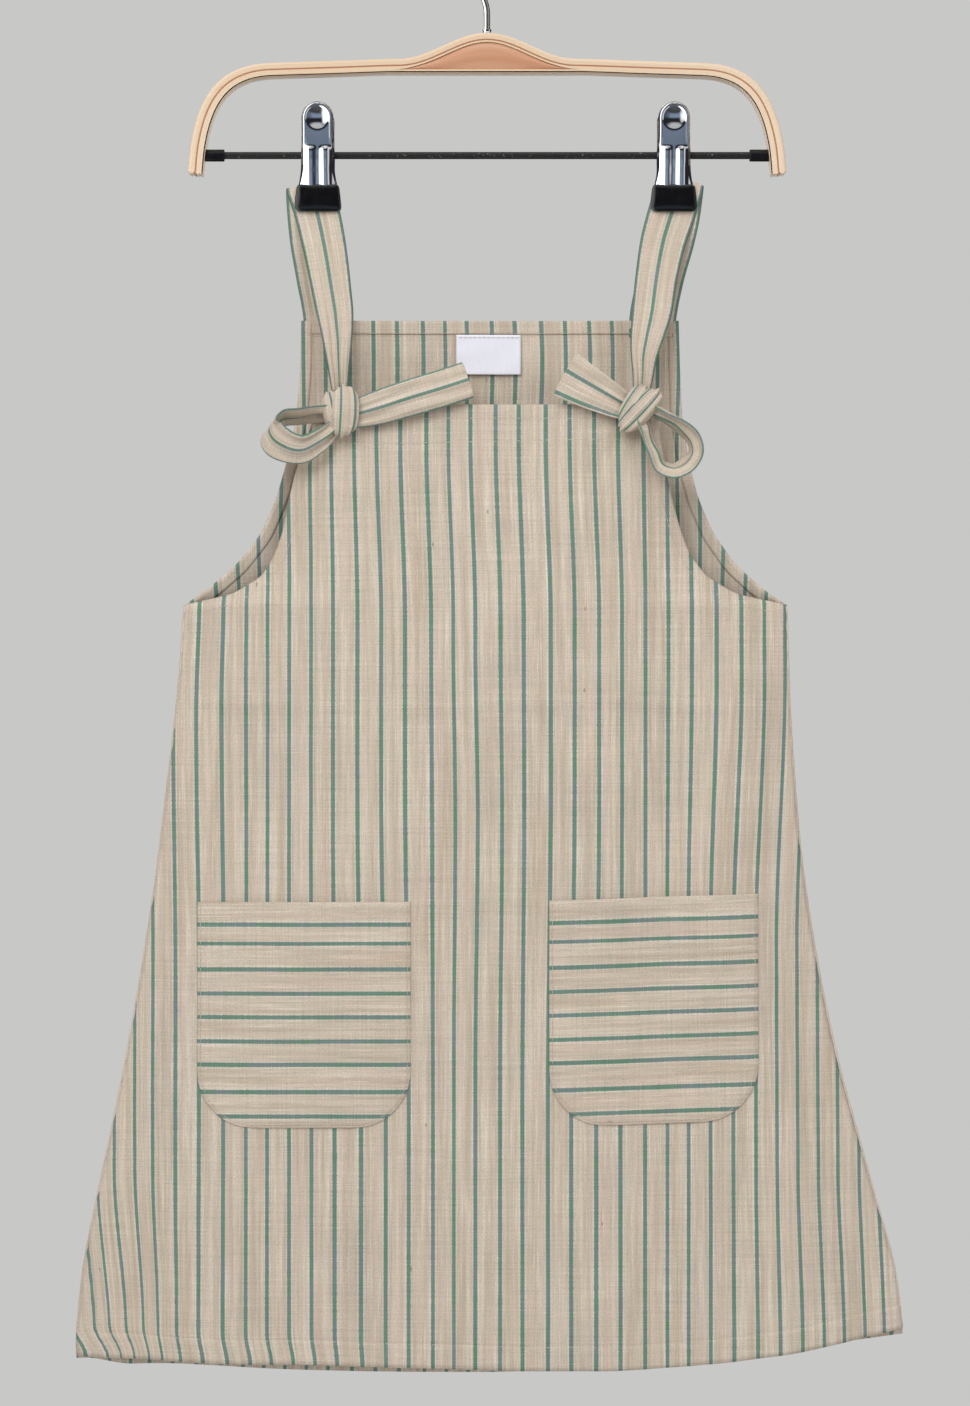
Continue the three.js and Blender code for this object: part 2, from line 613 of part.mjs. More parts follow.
// [x, y, z, width] from the back panel's corner up to the jaws, and from the jaws down to the knot.
const STRAP_RUNS = {
  left: {
    up: [[-88.6, 9.4, -222.6, 26], [-92.5, 6.2, -200, 26], [-95.8, 2.4, -178, 26.5],
      [-96.4, FOLD_R, TIP_LINE, 27]],
    down: [[-93.6, -FOLD_R, TIP_LINE, 26.5], [-91.6, -3.2, -185, 24], [-88.5, -6.8, -206, 22.5],
      [-84.9, -10.6, -229, 20.5], [-82.2, -13.6, -246, 15.5], [-81.2, -15.6, -259, 11]],
    knot: { at: [-80.6, -18, -275.6], size: [7.6, 5.6, 15], turn: 0.12 },
    tail: { from: [-72.4, -16.6, -272.8], to: [-11.9, -17.6, -260.6], width: [13, 21] },
    loop: {
      centre: [-106, -287.5], outer: [18.2, 14.6], inner: [12, 5.6], lean: -0.35,
    },
    stub: [-91, -71],
  },
  right: {
    up: [[91.6, 9.4, -222.6, 26], [95.2, 6.2, -200, 26], [101.4, 2.4, -178, 26.5],
      [104.6, FOLD_R, TIP_LINE, 27]],
    down: [[101.4, -FOLD_R, TIP_LINE, 26.5], [96.6, -3.2, -183, 25], [92.6, -6.8, -205, 23],
      [89.8, -10.6, -227, 21.5], [86.6, -13.4, -242, 16], [85.2, -15.4, -256, 12]],
    knot: { at: [83.4, -18, -270.4], size: [9.6, 5.6, 13.6], turn: -0.45 },
    tail: { from: [73.2, -16.6, -269.6], to: [42.4, -17.6, -254.6], width: [14, 20.5] },
    loop: {
      centre: [101.6, -296.5], outer: [19.5, 12.6], inner: [12.5, 6.2], lean: -0.95,
    },
    stub: [71, 91],
  },
};

function makeStrap(side) {
  const { up, down } = STRAP_RUNS[side];
  const upCurve = new THREE.CatmullRomCurve3(up.map(([x, y, z]) => new THREE.Vector3(x, y, z)));
  const downCurve = new THREE.CatmullRomCurve3(down.map(([x, y, z]) => new THREE.Vector3(x, y, z)));
  const widthAt = (run, t) => {
    const place = t * (run.length - 1);
    const i = Math.min(run.length - 2, Math.floor(place));
    return mix(run[i][3], run[i + 1][3], place - i);
  };
  const stops = [];
  const walk = (curve, run, steps) => {
    for (let i = 0; i <= steps; i += 1) {
      stops.push([...curve.getPoint(i / steps).toArray(), widthAt(run, i / steps)]);
    }
  };
  walk(upCurve, up, 8);
  const [foldA, foldB] = [up[up.length - 1], down[0]];
  const turns = 8;
  for (let i = 0; i <= turns; i += 1) {
    const angle = (Math.PI * i) / turns;
    const share = i / turns;
    stops.push([
      mix(foldA[0] - 0.3, foldB[0] - 0.9, share),
      FOLD_R * Math.cos(angle),
      FOLD_TOP - FOLD_R - STRAP / 2 + FOLD_R * Math.sin(angle),
      mix(foldA[3], foldB[3], share),
    ]);
  }
  walk(downCurve, down, 12);
  const rows = stops.length - 1;
  const geometry = bentSheet(3, rows, (a, b, c) => {
    const i = Math.round(((b + 1) / 2) * rows);
    const [x, y, z, width] = stops[i];
    const before = stops[Math.max(i - 1, 0)];
    const after = stops[Math.min(i + 1, rows)];
    const along = new THREE.Vector2(after[1] - before[1], after[2] - before[2]).normalize();
    return new THREE.Vector3(x + (a * width) / 2, y + along.y * c * STRAP, z - along.x * c * STRAP);
  });
  return finish(`${side}_shoulder_strap`, geometry, LINEN);
}

// A knot as a leaning egg, larger all round by air.
function knotSolid(side, air) {
  const { at, size, turn } = STRAP_RUNS[side].knot;
  const geometry = new THREE.SphereGeometry(1, 14, 9);
  geometry.scale(...size.map((s) => s + air));
  geometry.rotateY(turn);
  geometry.translate(...at);
  return solidOf(geometry);
}

function makeKnot(side) {
  return finish(`${side}_bow_knot`, geometryOf(knotSolid(side, 0)), LINEN);
}

function makeTail(side, knot) {
  const { from, to, width } = STRAP_RUNS[side].tail;
  const start = new THREE.Vector3(...from);
  const end = new THREE.Vector3(...to);
  const along = end.clone().sub(start).normalize();
  const ahead = side === 'left' ? 1 : -1;
  const up = new THREE.Vector3(-along.z * ahead, 0, along.x * ahead);
  const geometry = bentSheet(8, 2, (a, b, c) => {
    const t = (ahead * a + 1) / 2;
    const middle = start.clone().lerp(end, t);
    const half = mix(width[0], width[1], smoothStep(0, 0.5, t)) / 2;
    const wave = 1.2 * Math.sin(Math.PI * t);
    return middle.addScaledVector(up, b * half).add(new THREE.Vector3(0, c * STRAP - wave, 0));
  });
  return finish(`${side}_bow_tail`, geometryOf(solidOf(geometry).subtract(knot)), LINEN);
}

function makeLoop(side, knot) {
  const { centre, outer, inner, lean } = STRAP_RUNS[side].loop;
  const shape = new THREE.Shape();
  shape.absellipse(centre[0], centre[1], outer[0], outer[1], 0, Math.PI * 2, false, lean);
  const hole = new THREE.Path();
  hole.absellipse(centre[0], centre[1], inner[0], inner[1], 0, Math.PI * 2, true, lean);
  shape.holes.push(hole);
  const band = solidOf(slab(shape, -22.5, -13.5, 12));
  return finish(`${side}_bow_loop`, geometryOf(band.subtract(knot)), LINEN);
}

// The space a knot takes up, with the gap that its neighbours keep to it.
function knotRoom(side) {
  return knotSolid(side, 0.45);
}

// The short tie sewn into the bib's corner, where it enters the knot.
function makeFrontTie(side) {
  const [left, right] = STRAP_RUNS[side].stub;
  const foot = FRONT.surface((left + right) / 2, BIB_TOP);
  const geometry = bentSheet(4, 2, (a, b, c) => {
    const x = mix(left, right, (a + 1) / 2);
    const z = mix(BIB_TOP + 0.4, BIB_TOP + 9, (b + 1) / 2);
    return new THREE.Vector3(x, foot + c * STRAP, z);
  });
  return finish(`${side}_front_tie`, geometry, LINEN);
}

function makeGarment() {
  const garment = new THREE.Group();
  garment.add(
    makePanel('front_panel', FRONT),
    makePanel('back_panel', BACK),
    makeTopFacing('front_bib_facing', FRONT, 22),
    makeTopFacing('back_neck_facing', BACK, 8),
    makeArmholeFacing('front_armhole_facing_left', FRONT, false),
    makeArmholeFacing('front_armhole_facing_right', FRONT, true),
    makeArmholeFacing('back_armhole_facing_left', BACK, false),
    makeArmholeFacing('back_armhole_facing_right', BACK, true),
    makePocket('pocket_left', -159, -41.8, -543.8, -667.5),
    makePocket('pocket_right', 34.1, 148.8, -541.2, -665.3),
    makeLabel(),
  );
  for (const side of ['left', 'right']) {
    const room = knotRoom(side);
    garment.add(
      makeStrap(side),
      makeFrontTie(side),
      makeKnot(side),
      makeTail(side, room),
      makeLoop(side, room),
    );
  }
  return garment;
}

// ---------------------------------------------------------------- the whole object

const model = new THREE.Group();
model.add(makeHook(), ...makeWood(), ...makeBar(), makeClip('left'), makeClip('right'), makeGarment());
model.updateMatrixWorld(true);

export default model;
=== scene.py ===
"""A child's striped pinafore dress, hung by its tied straps from a laminated wooden clip hanger.

Shapes are worked out in millimetres and become metres when a mesh is made. x runs to the right as seen
from the front, z runs up and the front faces -y. The origin is the inner top of the hook.
"""

import json
import math

import bpy
import numpy as np
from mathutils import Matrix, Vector


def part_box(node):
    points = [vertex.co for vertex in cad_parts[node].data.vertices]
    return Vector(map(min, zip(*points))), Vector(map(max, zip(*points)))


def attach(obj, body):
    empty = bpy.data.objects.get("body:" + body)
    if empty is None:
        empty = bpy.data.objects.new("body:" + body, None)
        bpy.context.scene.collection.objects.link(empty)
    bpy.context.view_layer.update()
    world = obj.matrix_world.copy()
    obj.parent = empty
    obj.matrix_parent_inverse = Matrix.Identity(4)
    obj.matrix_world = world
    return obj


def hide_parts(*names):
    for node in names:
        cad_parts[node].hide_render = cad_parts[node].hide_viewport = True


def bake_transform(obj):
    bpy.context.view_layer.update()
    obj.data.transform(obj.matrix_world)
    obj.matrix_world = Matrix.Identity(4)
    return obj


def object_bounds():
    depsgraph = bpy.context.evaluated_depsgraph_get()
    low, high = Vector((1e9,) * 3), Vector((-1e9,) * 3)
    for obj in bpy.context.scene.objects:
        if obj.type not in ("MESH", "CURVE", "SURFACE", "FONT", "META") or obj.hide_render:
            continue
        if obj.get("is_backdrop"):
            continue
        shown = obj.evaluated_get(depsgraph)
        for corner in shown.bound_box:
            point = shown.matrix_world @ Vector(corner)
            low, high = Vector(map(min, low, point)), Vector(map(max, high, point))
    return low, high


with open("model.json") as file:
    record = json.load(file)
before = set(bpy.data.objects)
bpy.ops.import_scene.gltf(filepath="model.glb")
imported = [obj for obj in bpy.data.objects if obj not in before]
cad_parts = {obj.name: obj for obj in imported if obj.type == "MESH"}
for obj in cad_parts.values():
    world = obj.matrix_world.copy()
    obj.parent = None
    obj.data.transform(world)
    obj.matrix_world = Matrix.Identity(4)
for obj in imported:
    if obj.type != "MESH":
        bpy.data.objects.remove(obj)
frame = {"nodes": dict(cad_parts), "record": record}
CAD_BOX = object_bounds()

MM = 0.001
TAU = 2 * math.pi
X, Y, Z = 0, 1, 2
SIDES = ("left", "right")


def add_to_scene(name, data, place=(0, 0, 0)):
    holder = bpy.data.objects.new(name, data)
    holder.location = place
    bpy.context.scene.collection.objects.link(holder)
    return holder


# ------------------------ camera


def make_camera():
    camera = bpy.data.cameras.new("camera")
    camera.sensor_width = 36
    camera.lens = 106.75
    camera.clip_start = 0.05
    camera.clip_end = 20
    holder = add_to_scene("camera", camera, (-0.0011, -2.3, -0.4348))
    holder.rotation_euler = (math.pi / 2, 0, 0)
    bpy.context.scene.camera = holder


make_camera()

# ------------------------ places taken from the frame


def low(node):
    return np.array(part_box(node)[0]) / MM


def high(node):
    return np.array(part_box(node)[1]) / MM


def middle(node):
    return (low(node) + high(node)) / 2


def span(node, axis):
    """Where a node starts and ends along an axis."""
    return low(node)[axis], high(node)[axis]


def cut(node, across, measured, places):
    """Lowest and highest measured coordinate of a CAD node where it crosses each place on another axis."""
    mesh = frame["nodes"][node].data
    points = np.zeros(3 * len(mesh.vertices))
    mesh.vertices.foreach_get("co", points)
    points = points.reshape(-1, 3) / MM
    ends = np.array([edge.vertices[:] for edge in mesh.edges])
    start, end = points[ends[:, 0]], points[ends[:, 1]]
    rise = end[:, across] - start[:, across]
    rise[np.abs(rise) < 1e-9] = 1e-9
    found = []
    for place in places:
        t = (place - start[:, across]) / rise
        hit = (t >= -1e-6) & (t <= 1 + 1e-6)
        value = (start + t[:, None] * (end - start))[hit, measured]
        found.append((value.min(), value.max()))
    return np.array(found)


BAR_Z = middle("trouser_bar")[Z]
WOOD_TOP = high("wood_upper_strip")[Z]
WOOD_HALF_DEPTH = high("wood_upper_strip")[Y]
BIB_TOP = high("front_panel")[Z]
BACK_TOP = high("back_panel")[Z]
HEM = low("front_panel")[Z]
UNDERARM = -380.9
CLIP_X = {side: middle(f"{side}_clip_back_tip")[X] for side in SIDES}

# ------------------------ shape helpers


def mix(a, b, t):
    return a + (b - a) * t


def smooth(a, b, value):
    """0 at a and 1 at b, with an easy start and end."""
    t = np.clip((value - a) / (b - a), 0, 1)
    return t * t * (3 - 2 * t)


def hill(x, centre, width):
    """1 at the centre, falling away like a bell to either side."""
    return np.exp(-(((x - centre) / width) ** 2))


def ramp_between(z, top, peak, bottom):
    """1 at the peak, falling smoothly to 0 at the top and the bottom."""
    return np.where(z > peak, smooth(top, peak, z), smooth(bottom, peak, z))


def smooth_curve(places, values):
    """A cubic through values at rising places, as a function of place. A value may be a vector."""
    places = np.asarray(places, float)
    values = np.asarray(values, float)
    slopes = np.gradient(values, places, axis=0)

    def at(place):
        place = np.clip(np.asarray(place, float), places[0], places[-1])
        i = np.clip(np.searchsorted(places, place, side="right") - 1, 0, len(places) - 2)
        span = places[i + 1] - places[i]
        t = (place - places[i]) / span
        if values.ndim > 1:
            span = span[..., None]
            t = t[..., None]
        ease = t * t * (3 - 2 * t)
        bend = (t * (1 - t) ** 2 * slopes[i] - t * t * (1 - t) * slopes[i + 1]) * span
        return mix(values[i], values[i + 1], ease) + bend

    return at


def ripple(x, z, length, seed):
    """A gentle random relief between about -1 and 1, its waves about this long."""
    chance = np.random.default_rng(seed)
    total = np.zeros(np.broadcast(x, z).shape)
    waves = 9
    for _ in range(waves):
        way = chance.uniform(0, math.pi)
        size = length * chance.uniform(0.7, 1.5)
        phase = chance.uniform(0, TAU)
        total += np.sin(TAU * (x * math.cos(way) + z * math.sin(way)) / size + phase)
    return total / math.sqrt(waves)


def ripples(x, z, layers):
    """Several ripples on one another, each with its height, length and seed."""
    return sum(height * ripple(x, z, length, seed) for height, length, seed in layers)


def stack(*parts):
    """Points from their coordinates; a coordinate may be one number for all of them."""
    return np.stack(np.broadcast_arrays(*parts), axis=-1)


def unit(vectors):
    return vectors / np.maximum(np.linalg.norm(vectors, axis=-1, keepdims=True), 1e-9)


def turns(count):
    """Angles evenly round a circle."""
    return np.linspace(0, TAU, count, endpoint=False)


def run_length(points):
    """Distance along a row of points from the first one."""
    steps = np.linalg.norm(np.diff(points, axis=0), axis=1)
    return np.concatenate([[0], np.cumsum(steps)])


def along_line(line, run, places):
    """Points at some places on a line, straight between the points it has."""
    return stack(*(np.interp(places, run, column) for column in line.T))


def even_line(line, count, passes=0):
    """A line resampled at even steps, and gently smoothed in some passes with its ends kept."""
    run = run_length(line)
    line = along_line(line, run, np.linspace(0, run[-1], count))
    for _ in range(passes):
        line[1:-1] = (line[:-2] + 2 * line[1:-1] + line[2:]) / 4
    return line


def arc(x, z, radius, start, end, count):
    """Points on an arc round x, z that goes on from its start, which is left out."""
    angles = np.linspace(start, end, count)[1:]
    return stack(x + radius * np.cos(angles), 0.0, z + radius * np.sin(angles))


# ------------------------ mesh helpers


def grid_faces(rows, columns, round_columns=False):
    """The quads of a lattice of points numbered row by row, which may close round on itself."""
    row = np.arange(rows - 1)
    column = np.arange(columns if round_columns else columns - 1)
    r, c = np.meshgrid(row, column, indexing="ij")
    next_c = (c + 1) % columns
    corners = [r * columns + c, r * columns + next_c, (r + 1) * columns + next_c, (r + 1) * columns + c]
    return np.stack(corners, axis=-1).reshape(-1, 4)


def add_piece(name, points, faces, look, body, stands_for, uv=None):
    """Makes a mesh from points in millimetres, with its finish, its body and the CAD node it stands for."""
    mesh = bpy.data.meshes.new(name)
    mesh.from_pydata((np.reshape(points, (-1, 3)) * MM).tolist(), [], [list(face) for face in faces])
    if uv is not None:
        layer = mesh.uv_layers.new(name="Weave")
        corner = np.zeros(len(mesh.loops), np.int32)
        mesh.loops.foreach_get("vertex_index", corner)
        layer.data.foreach_set("uv", (np.reshape(uv, (-1, 2)) * MM)[corner].ravel())
    mesh.polygons.foreach_set("use_smooth", [True] * len(mesh.polygons))
    mesh.materials.append(LOOKS[look])
    mesh.validate()
    piece = add_to_scene(name, mesh)
    look if look in SLOTS else "striped_linen"
    if body:
        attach(piece, body)
    if stands_for:
        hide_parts(stands_for)
    return piece


def add_cloth(name, points, faces, body, stands_for, uv, thickness=None):
    """A piece of the striped linen, as a sheet of some thickness or a form that is already closed."""
    piece = add_piece(name, points, faces, "striped_linen", body, stands_for, uv)
    if thickness:
        thicken(piece, thickness)
    return piece


def thicken(piece, thickness, rim=0.0):
    """Gives a sheet its thickness, half to each side, and rounds its rim."""
    solid = piece.modifiers.new("thickness", "SOLIDIFY")
    solid.thickness = thickness * MM
    solid.offset = 0
    if rim:
        bevel = piece.modifiers.new("round rim", "BEVEL")
        bevel.width = rim * MM
        bevel.segments = 2
        bevel.limit_method = "ANGLE"
        bevel.angle_limit = math.radians(40)


def subdivide(piece):
    extra = piece.modifiers.new("subdivision", "SUBSURF")
    extra.levels = 1
    extra.render_levels = 1


def apply_modifiers(piece):
    """Turns what the modifiers make into the piece's own mesh."""
    depsgraph = bpy.context.evaluated_depsgraph_get()
    mesh = bpy.data.meshes.new_from_object(piece.evaluated_get(depsgraph))
    piece.modifiers.clear()
    piece.data = mesh


def loft(rings):
    """Points and outward faces of a skin through closed rings of points, with flat ends."""
    rings = np.asarray(rings)
    count, around = rings.shape[:2]
    points = rings.reshape(-1, 3)
    quads = grid_faces(count, around, round_columns=True)
    faces = quads.tolist()
    faces.append(list(range(around))[::-1])
    faces.append(list(range((count - 1) * around, count * around)))
    a, b, c, d = np.moveaxis(points[quads] - points.mean(axis=0), 1, 0)
    if (a * np.cross(b - d, c)).sum() < 0:  # a negative volume: the faces look inwards
        faces = [face[:1] + face[:0:-1] for face in faces]
    return points, faces


def merge(parts):
    """Joins several pairs of points and faces into one."""
    points, faces, start = [], [], 0
    for part_points, part_faces in parts:
        points.append(part_points)
        faces.extend([[i + start for i in face] for face in part_faces])
        start += len(part_points)
    return np.vstack(points), faces


def turned(profile, centre=(0, 0, 0), axis="z", sides=48):
    """A lathe shape: profile is a list of (radius, height) from one end on the axis to the other."""
    rings = []
    for radius, height in profile:
        a = max(radius, 0.01) * np.cos(turns(sides))
        b = max(radius, 0.01) * np.sin(turns(sides))
        rings.append(stack(*((a, b, height) if axis == "z" else (height, a, b))) + centre)
    return loft(rings)


def round_corner(profile, radius, steps=4):
    """Rounds the inner corners of a profile of (radius, height) points."""
    profile = np.asarray(profile, float)
    out = [profile[0]]
    for before, corner, after in zip(profile, profile[1:], profile[2:]):
        to_before, to_after = before - corner, after - corner
        reach = min(radius, np.linalg.norm(to_before) / 2, np.linalg.norm(to_after) / 2)
        a = corner + unit(to_before) * reach
        b = corner + unit(to_after) * reach
        out.extend(mix(mix(a, corner, t), mix(corner, b, t), t) for t in np.linspace(0, 1, steps + 1))
    return out + [profile[-1]]


def tube(centres, radius, sides=24):
    """A round tube along a row of points, with domed ends."""
    tangent = unit(np.gradient(centres, axis=0))
    side = unit(np.cross(tangent, [0, 1, 0.001]))
    other = np.cross(tangent, side)
    angles = turns(sides)[:, None]

    def ring(i, size, shift=0.0):
        outline = np.cos(angles) * side[i] + np.sin(angles) * other[i]
        return centres[i] + tangent[i] * shift + size * outline

    lifts = np.linspace(0.15, 1, 5) * math.pi / 2
    dome = [(max(radius * math.cos(lift), 0.02), radius * math.sin(lift)) for lift in lifts]
    rings = [ring(0, size, -shift) for size, shift in dome[::-1]]
    rings += [ring(i, radius) for i in range(len(centres))]
    rings += [ring(-1, size, shift) for size, shift in dome]
    return loft(rings)


# ------------------------ material helpers


class Paint:
    """The nodes of one material or world, with short ways to add and link them."""

    def __init__(self, owner, shader="Principled BSDF"):
        owner.use_nodes = True
        self.owner = owner
        self.tree = owner.node_tree
        self.shader = self.tree.nodes[shader]

    def put(self, socket, value):
        if isinstance(value, bpy.types.NodeSocket):
            self.tree.links.new(value, socket)
        else:
            socket.default_value = value

    def node(self, kind, inputs=(), **settings):
        made = self.tree.nodes.new("ShaderNode" + kind)
        for key, value in settings.items():
            setattr(made, key, value)
        for key, value in dict(inputs).items():
            self.put(made.inputs[key], value)
        return made

    def weave_map(self):
        return self.node("UVMap", uv_map="Weave").outputs[0]

    def object_map(self):
        return self.node("TexCoord").outputs["Object"]

    def math(self, operation, *values):
        made = self.node("Math", operation=operation)
        for socket, value in zip(made.inputs, values):
            self.put(socket, value)
        return made.outputs[0]

    def times(self, a, b):
        return self.math("MULTIPLY", a, b)

    def plus(self, a, b):
        return self.math("ADD", a, b)

    def range(self, value, low_in, high_in, low_out=0.0, high_out=1.0):
        made = self.node("MapRange", {"Value": value, "From Min": low_in, "From Max": high_in,
                                      "To Min": low_out, "To Max": high_out})
        return made.outputs["Result"]

    def blend(self, share, a, b):
        made = self.node("Mix", data_type="RGBA")
        for place, value in ((0, share), (6, a), (7, b)):
            self.put(made.inputs[place], value)
        return made.outputs[2]

    def noise(self, place, scale, detail=2.0, roughness=0.5):
        """Noise of one scale all round, or with a scale for each axis."""
        if isinstance(scale, tuple):
            place = self.node("Mapping", {"Vector": place, "Scale": scale}).outputs[0]
            scale = 1.0
        made = self.node("TexNoise", {"Vector": place, "Scale": scale, "Detail": detail,
                                      "Roughness": roughness})
        return made.outputs["Fac"]

    def bump(self, height, strength, distance):
        made = self.node("Bump", {"Height": height, "Strength": strength, "Distance": distance})
        return made.outputs["Normal"]

    def finish(self, **values):
        for key, value in values.items():
            self.put(self.shader.inputs[key.replace("_", " ").title().replace("Ior", "IOR")], value)
        return self.owner


def new_paint(name):
    return Paint(bpy.data.materials.new(name))


def rgb(red, green, blue):
    """A colour given as it looks on a screen, from 0 to 255, as linear light."""
    def linear(value):
        value /= 255
        return value / 12.92 if value <= 0.04045 else ((value + 0.055) / 1.055) ** 2.4
    return (linear(red), linear(green), linear(blue), 1.0)


# ------------------------ materials

STRIPE_PITCH = 13.0  # the Weave map puts a stripe at every whole multiple of this
STRIPE_HALF = 1.15
THREAD = 0.58  # distance from one thread to the next


def weave_height(paint, across, along):
    """A plain weave: threads over and under in turn."""
    turn = TAU / (2 * THREAD * MM)
    return paint.times(paint.math("SINE", paint.times(across, turn)),
                       paint.math("SINE", paint.times(along, turn)))


def add_stripes(paint, tone, place, across, picks):
    """Green stripes with ragged edges and uneven dye, a paler ground close beside them."""
    edge = STRIPE_HALF / STRIPE_PITCH
    count = paint.math("DIVIDE", across, STRIPE_PITCH * MM)
    off_middle = paint.math("SUBTRACT", paint.math("FRACT", paint.plus(count, 0.5)), 0.5)
    away = paint.math("ABSOLUTE", off_middle)
    ragged = paint.range(picks, 0.3, 0.7, -0.012, 0.012)
    stripe = paint.range(paint.plus(away, ragged), edge + 0.016, edge - 0.016)
    beside = paint.range(away, edge + 0.075, edge + 0.02)
    dye = paint.noise(place, (70, 44, 1), 4.0, 0.65)
    green = paint.blend(paint.range(dye, 0.38, 0.62), rgb(85, 131, 107), rgb(106, 127, 128))
    tone = paint.blend(paint.times(beside, 0.35), tone, rgb(226, 220, 208))
    return paint.blend(paint.times(stripe, 0.93), tone, green)


def add_specks(paint, tone, place):
    """A few dark specks of bark in the yarn."""
    mapped = paint.node("Mapping", {"Vector": place, "Scale": (220, 90, 1)}).outputs[0]
    cells = paint.node("TexVoronoi", {"Vector": mapped, "Scale": 1.0})
    chance = paint.node("TexWhiteNoise", {"Vector": cells.outputs["Position"]}, noise_dimensions="3D")
    speck = paint.times(paint.range(cells.outputs["Distance"], 0.16, 0.06),
                        paint.math("GREATER_THAN", chance.outputs["Value"], 0.985))
    return paint.blend(paint.times(speck, 0.6), tone, rgb(118, 96, 78))


def make_linen():
    paint = new_paint("striped_linen")
    place = paint.weave_map()
    split = paint.node("SeparateXYZ", {"Vector": place})
    across, along = split.outputs[0], split.outputs[1]
    threads = paint.noise(place, (1250, 26, 1), 3.0, 0.6)
    bands = paint.noise(place, (300, 7, 1), 3.0, 0.6)
    picks = paint.noise(place, (22, 1300, 1), 2.0, 0.6)
    pepper = paint.noise(place, (1400, 1300, 1), 1.0)
    patches = paint.noise(place, (26, 14, 1), 3.0, 0.5)
    warmth = paint.noise(place, (140, 8, 1), 2.0, 0.5)
    mottle = paint.noise(place, (520, 150, 1), 3.0, 0.6)

    tone = paint.blend(paint.range(bands, 0.36, 0.66), rgb(191, 176, 155), rgb(215, 203, 187))
    for noise, start, end, share, colour in (
            (warmth, 0.48, 0.7, 0.6, rgb(208, 186, 171)), (patches, 0.5, 0.8, 0.4, rgb(180, 170, 160)),
            (threads, 0.58, 0.8, 0.7, rgb(232, 224, 212)), (mottle, 0.52, 0.7, 0.35, rgb(213, 186, 173)),
            (mottle, 0.48, 0.3, 0.35, rgb(182, 178, 160))):
        tone = paint.blend(paint.range(noise, start, end, 0, share), tone, colour)
    tone = add_stripes(paint, tone, place, across, picks)
    tone = add_specks(paint, tone, place)
    grain = paint.plus(paint.range(threads, 0.3, 0.7, -0.1, 0.1),
                       paint.plus(paint.range(picks, 0.3, 0.7, -0.07, 0.07),
                                  paint.range(pepper, 0.3, 0.7, -0.12, 0.12)))
    tone = paint.node("HueSaturation", {"Color": tone, "Value": paint.plus(grain, 1.0)}).outputs[0]

    slub = paint.plus(paint.range(threads, 0.2, 0.8, -0.6, 0.6), paint.range(picks, 0.2, 0.8, -0.5, 0.5))
    relief = paint.plus(paint.times(weave_height(paint, across, along), 0.5), slub)
    return paint.finish(base_color=tone, roughness=paint.range(patches, 0.3, 0.7, 0.82, 0.94),
                        normal=paint.bump(relief, 0.55, 0.00022), specular_ior_level=0.25,
                        sheen_weight=0.12, sheen_roughness=0.6)


def make_label_tape():
    paint = new_paint("label_tape")
    ribs = paint.noise(paint.weave_map(), (2600, 90, 1), 2.0)
    return paint.finish(base_color=paint.blend(ribs, rgb(226, 226, 238), rgb(240, 240, 248)),
                        roughness=paint.range(ribs, 0.3, 0.7, 0.38, 0.52),
                        normal=paint.bump(ribs, 0.35, 0.0001), sheen_weight=0.15, sheen_roughness=0.4)


def make_wood(name, light, dark, gloss, coat):
    """Wood with its grain along the Weave map's second coordinate."""
    paint = new_paint(name)
    place = paint.weave_map()
    fibres = paint.noise(place, (700, 9, 1), 4.0, 0.6)
    years = paint.noise(place, (150, 3, 1), 2.0, 0.5)
    pores = paint.noise(place, (1500, 70, 1), 1.0)
    tone = paint.blend(paint.range(years, 0.35, 0.68), light, dark)
    tone = paint.blend(paint.range(fibres, 0.45, 0.75, 0, 0.4), tone, dark)
    tone = paint.blend(paint.range(pores, 0.62, 0.72, 0, 0.14), tone, rgb(170, 128, 92))
    return paint.finish(base_color=tone, roughness=paint.range(fibres, 0.3, 0.7, gloss - 0.05, gloss + 0.08),
                        normal=paint.bump(fibres, 0.08, 0.0002), coat_weight=coat, coat_roughness=0.12)


def make_metal(name, tint, rough_low, rough_high, scratch):
    """Bright metal, a little cloudy and finely scratched."""
    paint = new_paint(name)
    place = paint.object_map()
    fine = paint.noise(place, (700, 700, 60), 3.0, 0.6)
    cloud = paint.noise(place, 60.0, 3.0)
    dull = [c * 0.86 for c in tint[:3]] + [1.0]
    return paint.finish(base_color=paint.blend(paint.range(cloud, 0.3, 0.7, 0, 0.5), tint, dull),
                        roughness=paint.range(cloud, 0.3, 0.7, rough_low, rough_high),
                        normal=paint.bump(fine, scratch, 0.00005), metallic=1.0)


def make_fine(name, scale, detail, tones, rough, bump, spots=None, **fixed):
    """A finish from one fine noise, which blends two tones or leaves spots of the second one."""
    paint = new_paint(name)
    grain = paint.noise(paint.object_map(), scale, detail)
    share = paint.range(grain, *spots) if spots else grain
    return paint.finish(base_color=paint.blend(share, *tones), normal=paint.bump(grain, bump, 0.0001),
                        roughness=paint.range(grain, 0.3, 0.7, *rough), **fixed)


def make_black_gloss(name, tone, rough, scale, coat):
    return make_fine(name, scale, 3.0, (tone, rgb(22, 22, 24)), (rough, rough + 0.14), 0.15,
                     specular_ior_level=0.25, coat_weight=coat, coat_roughness=0.06)


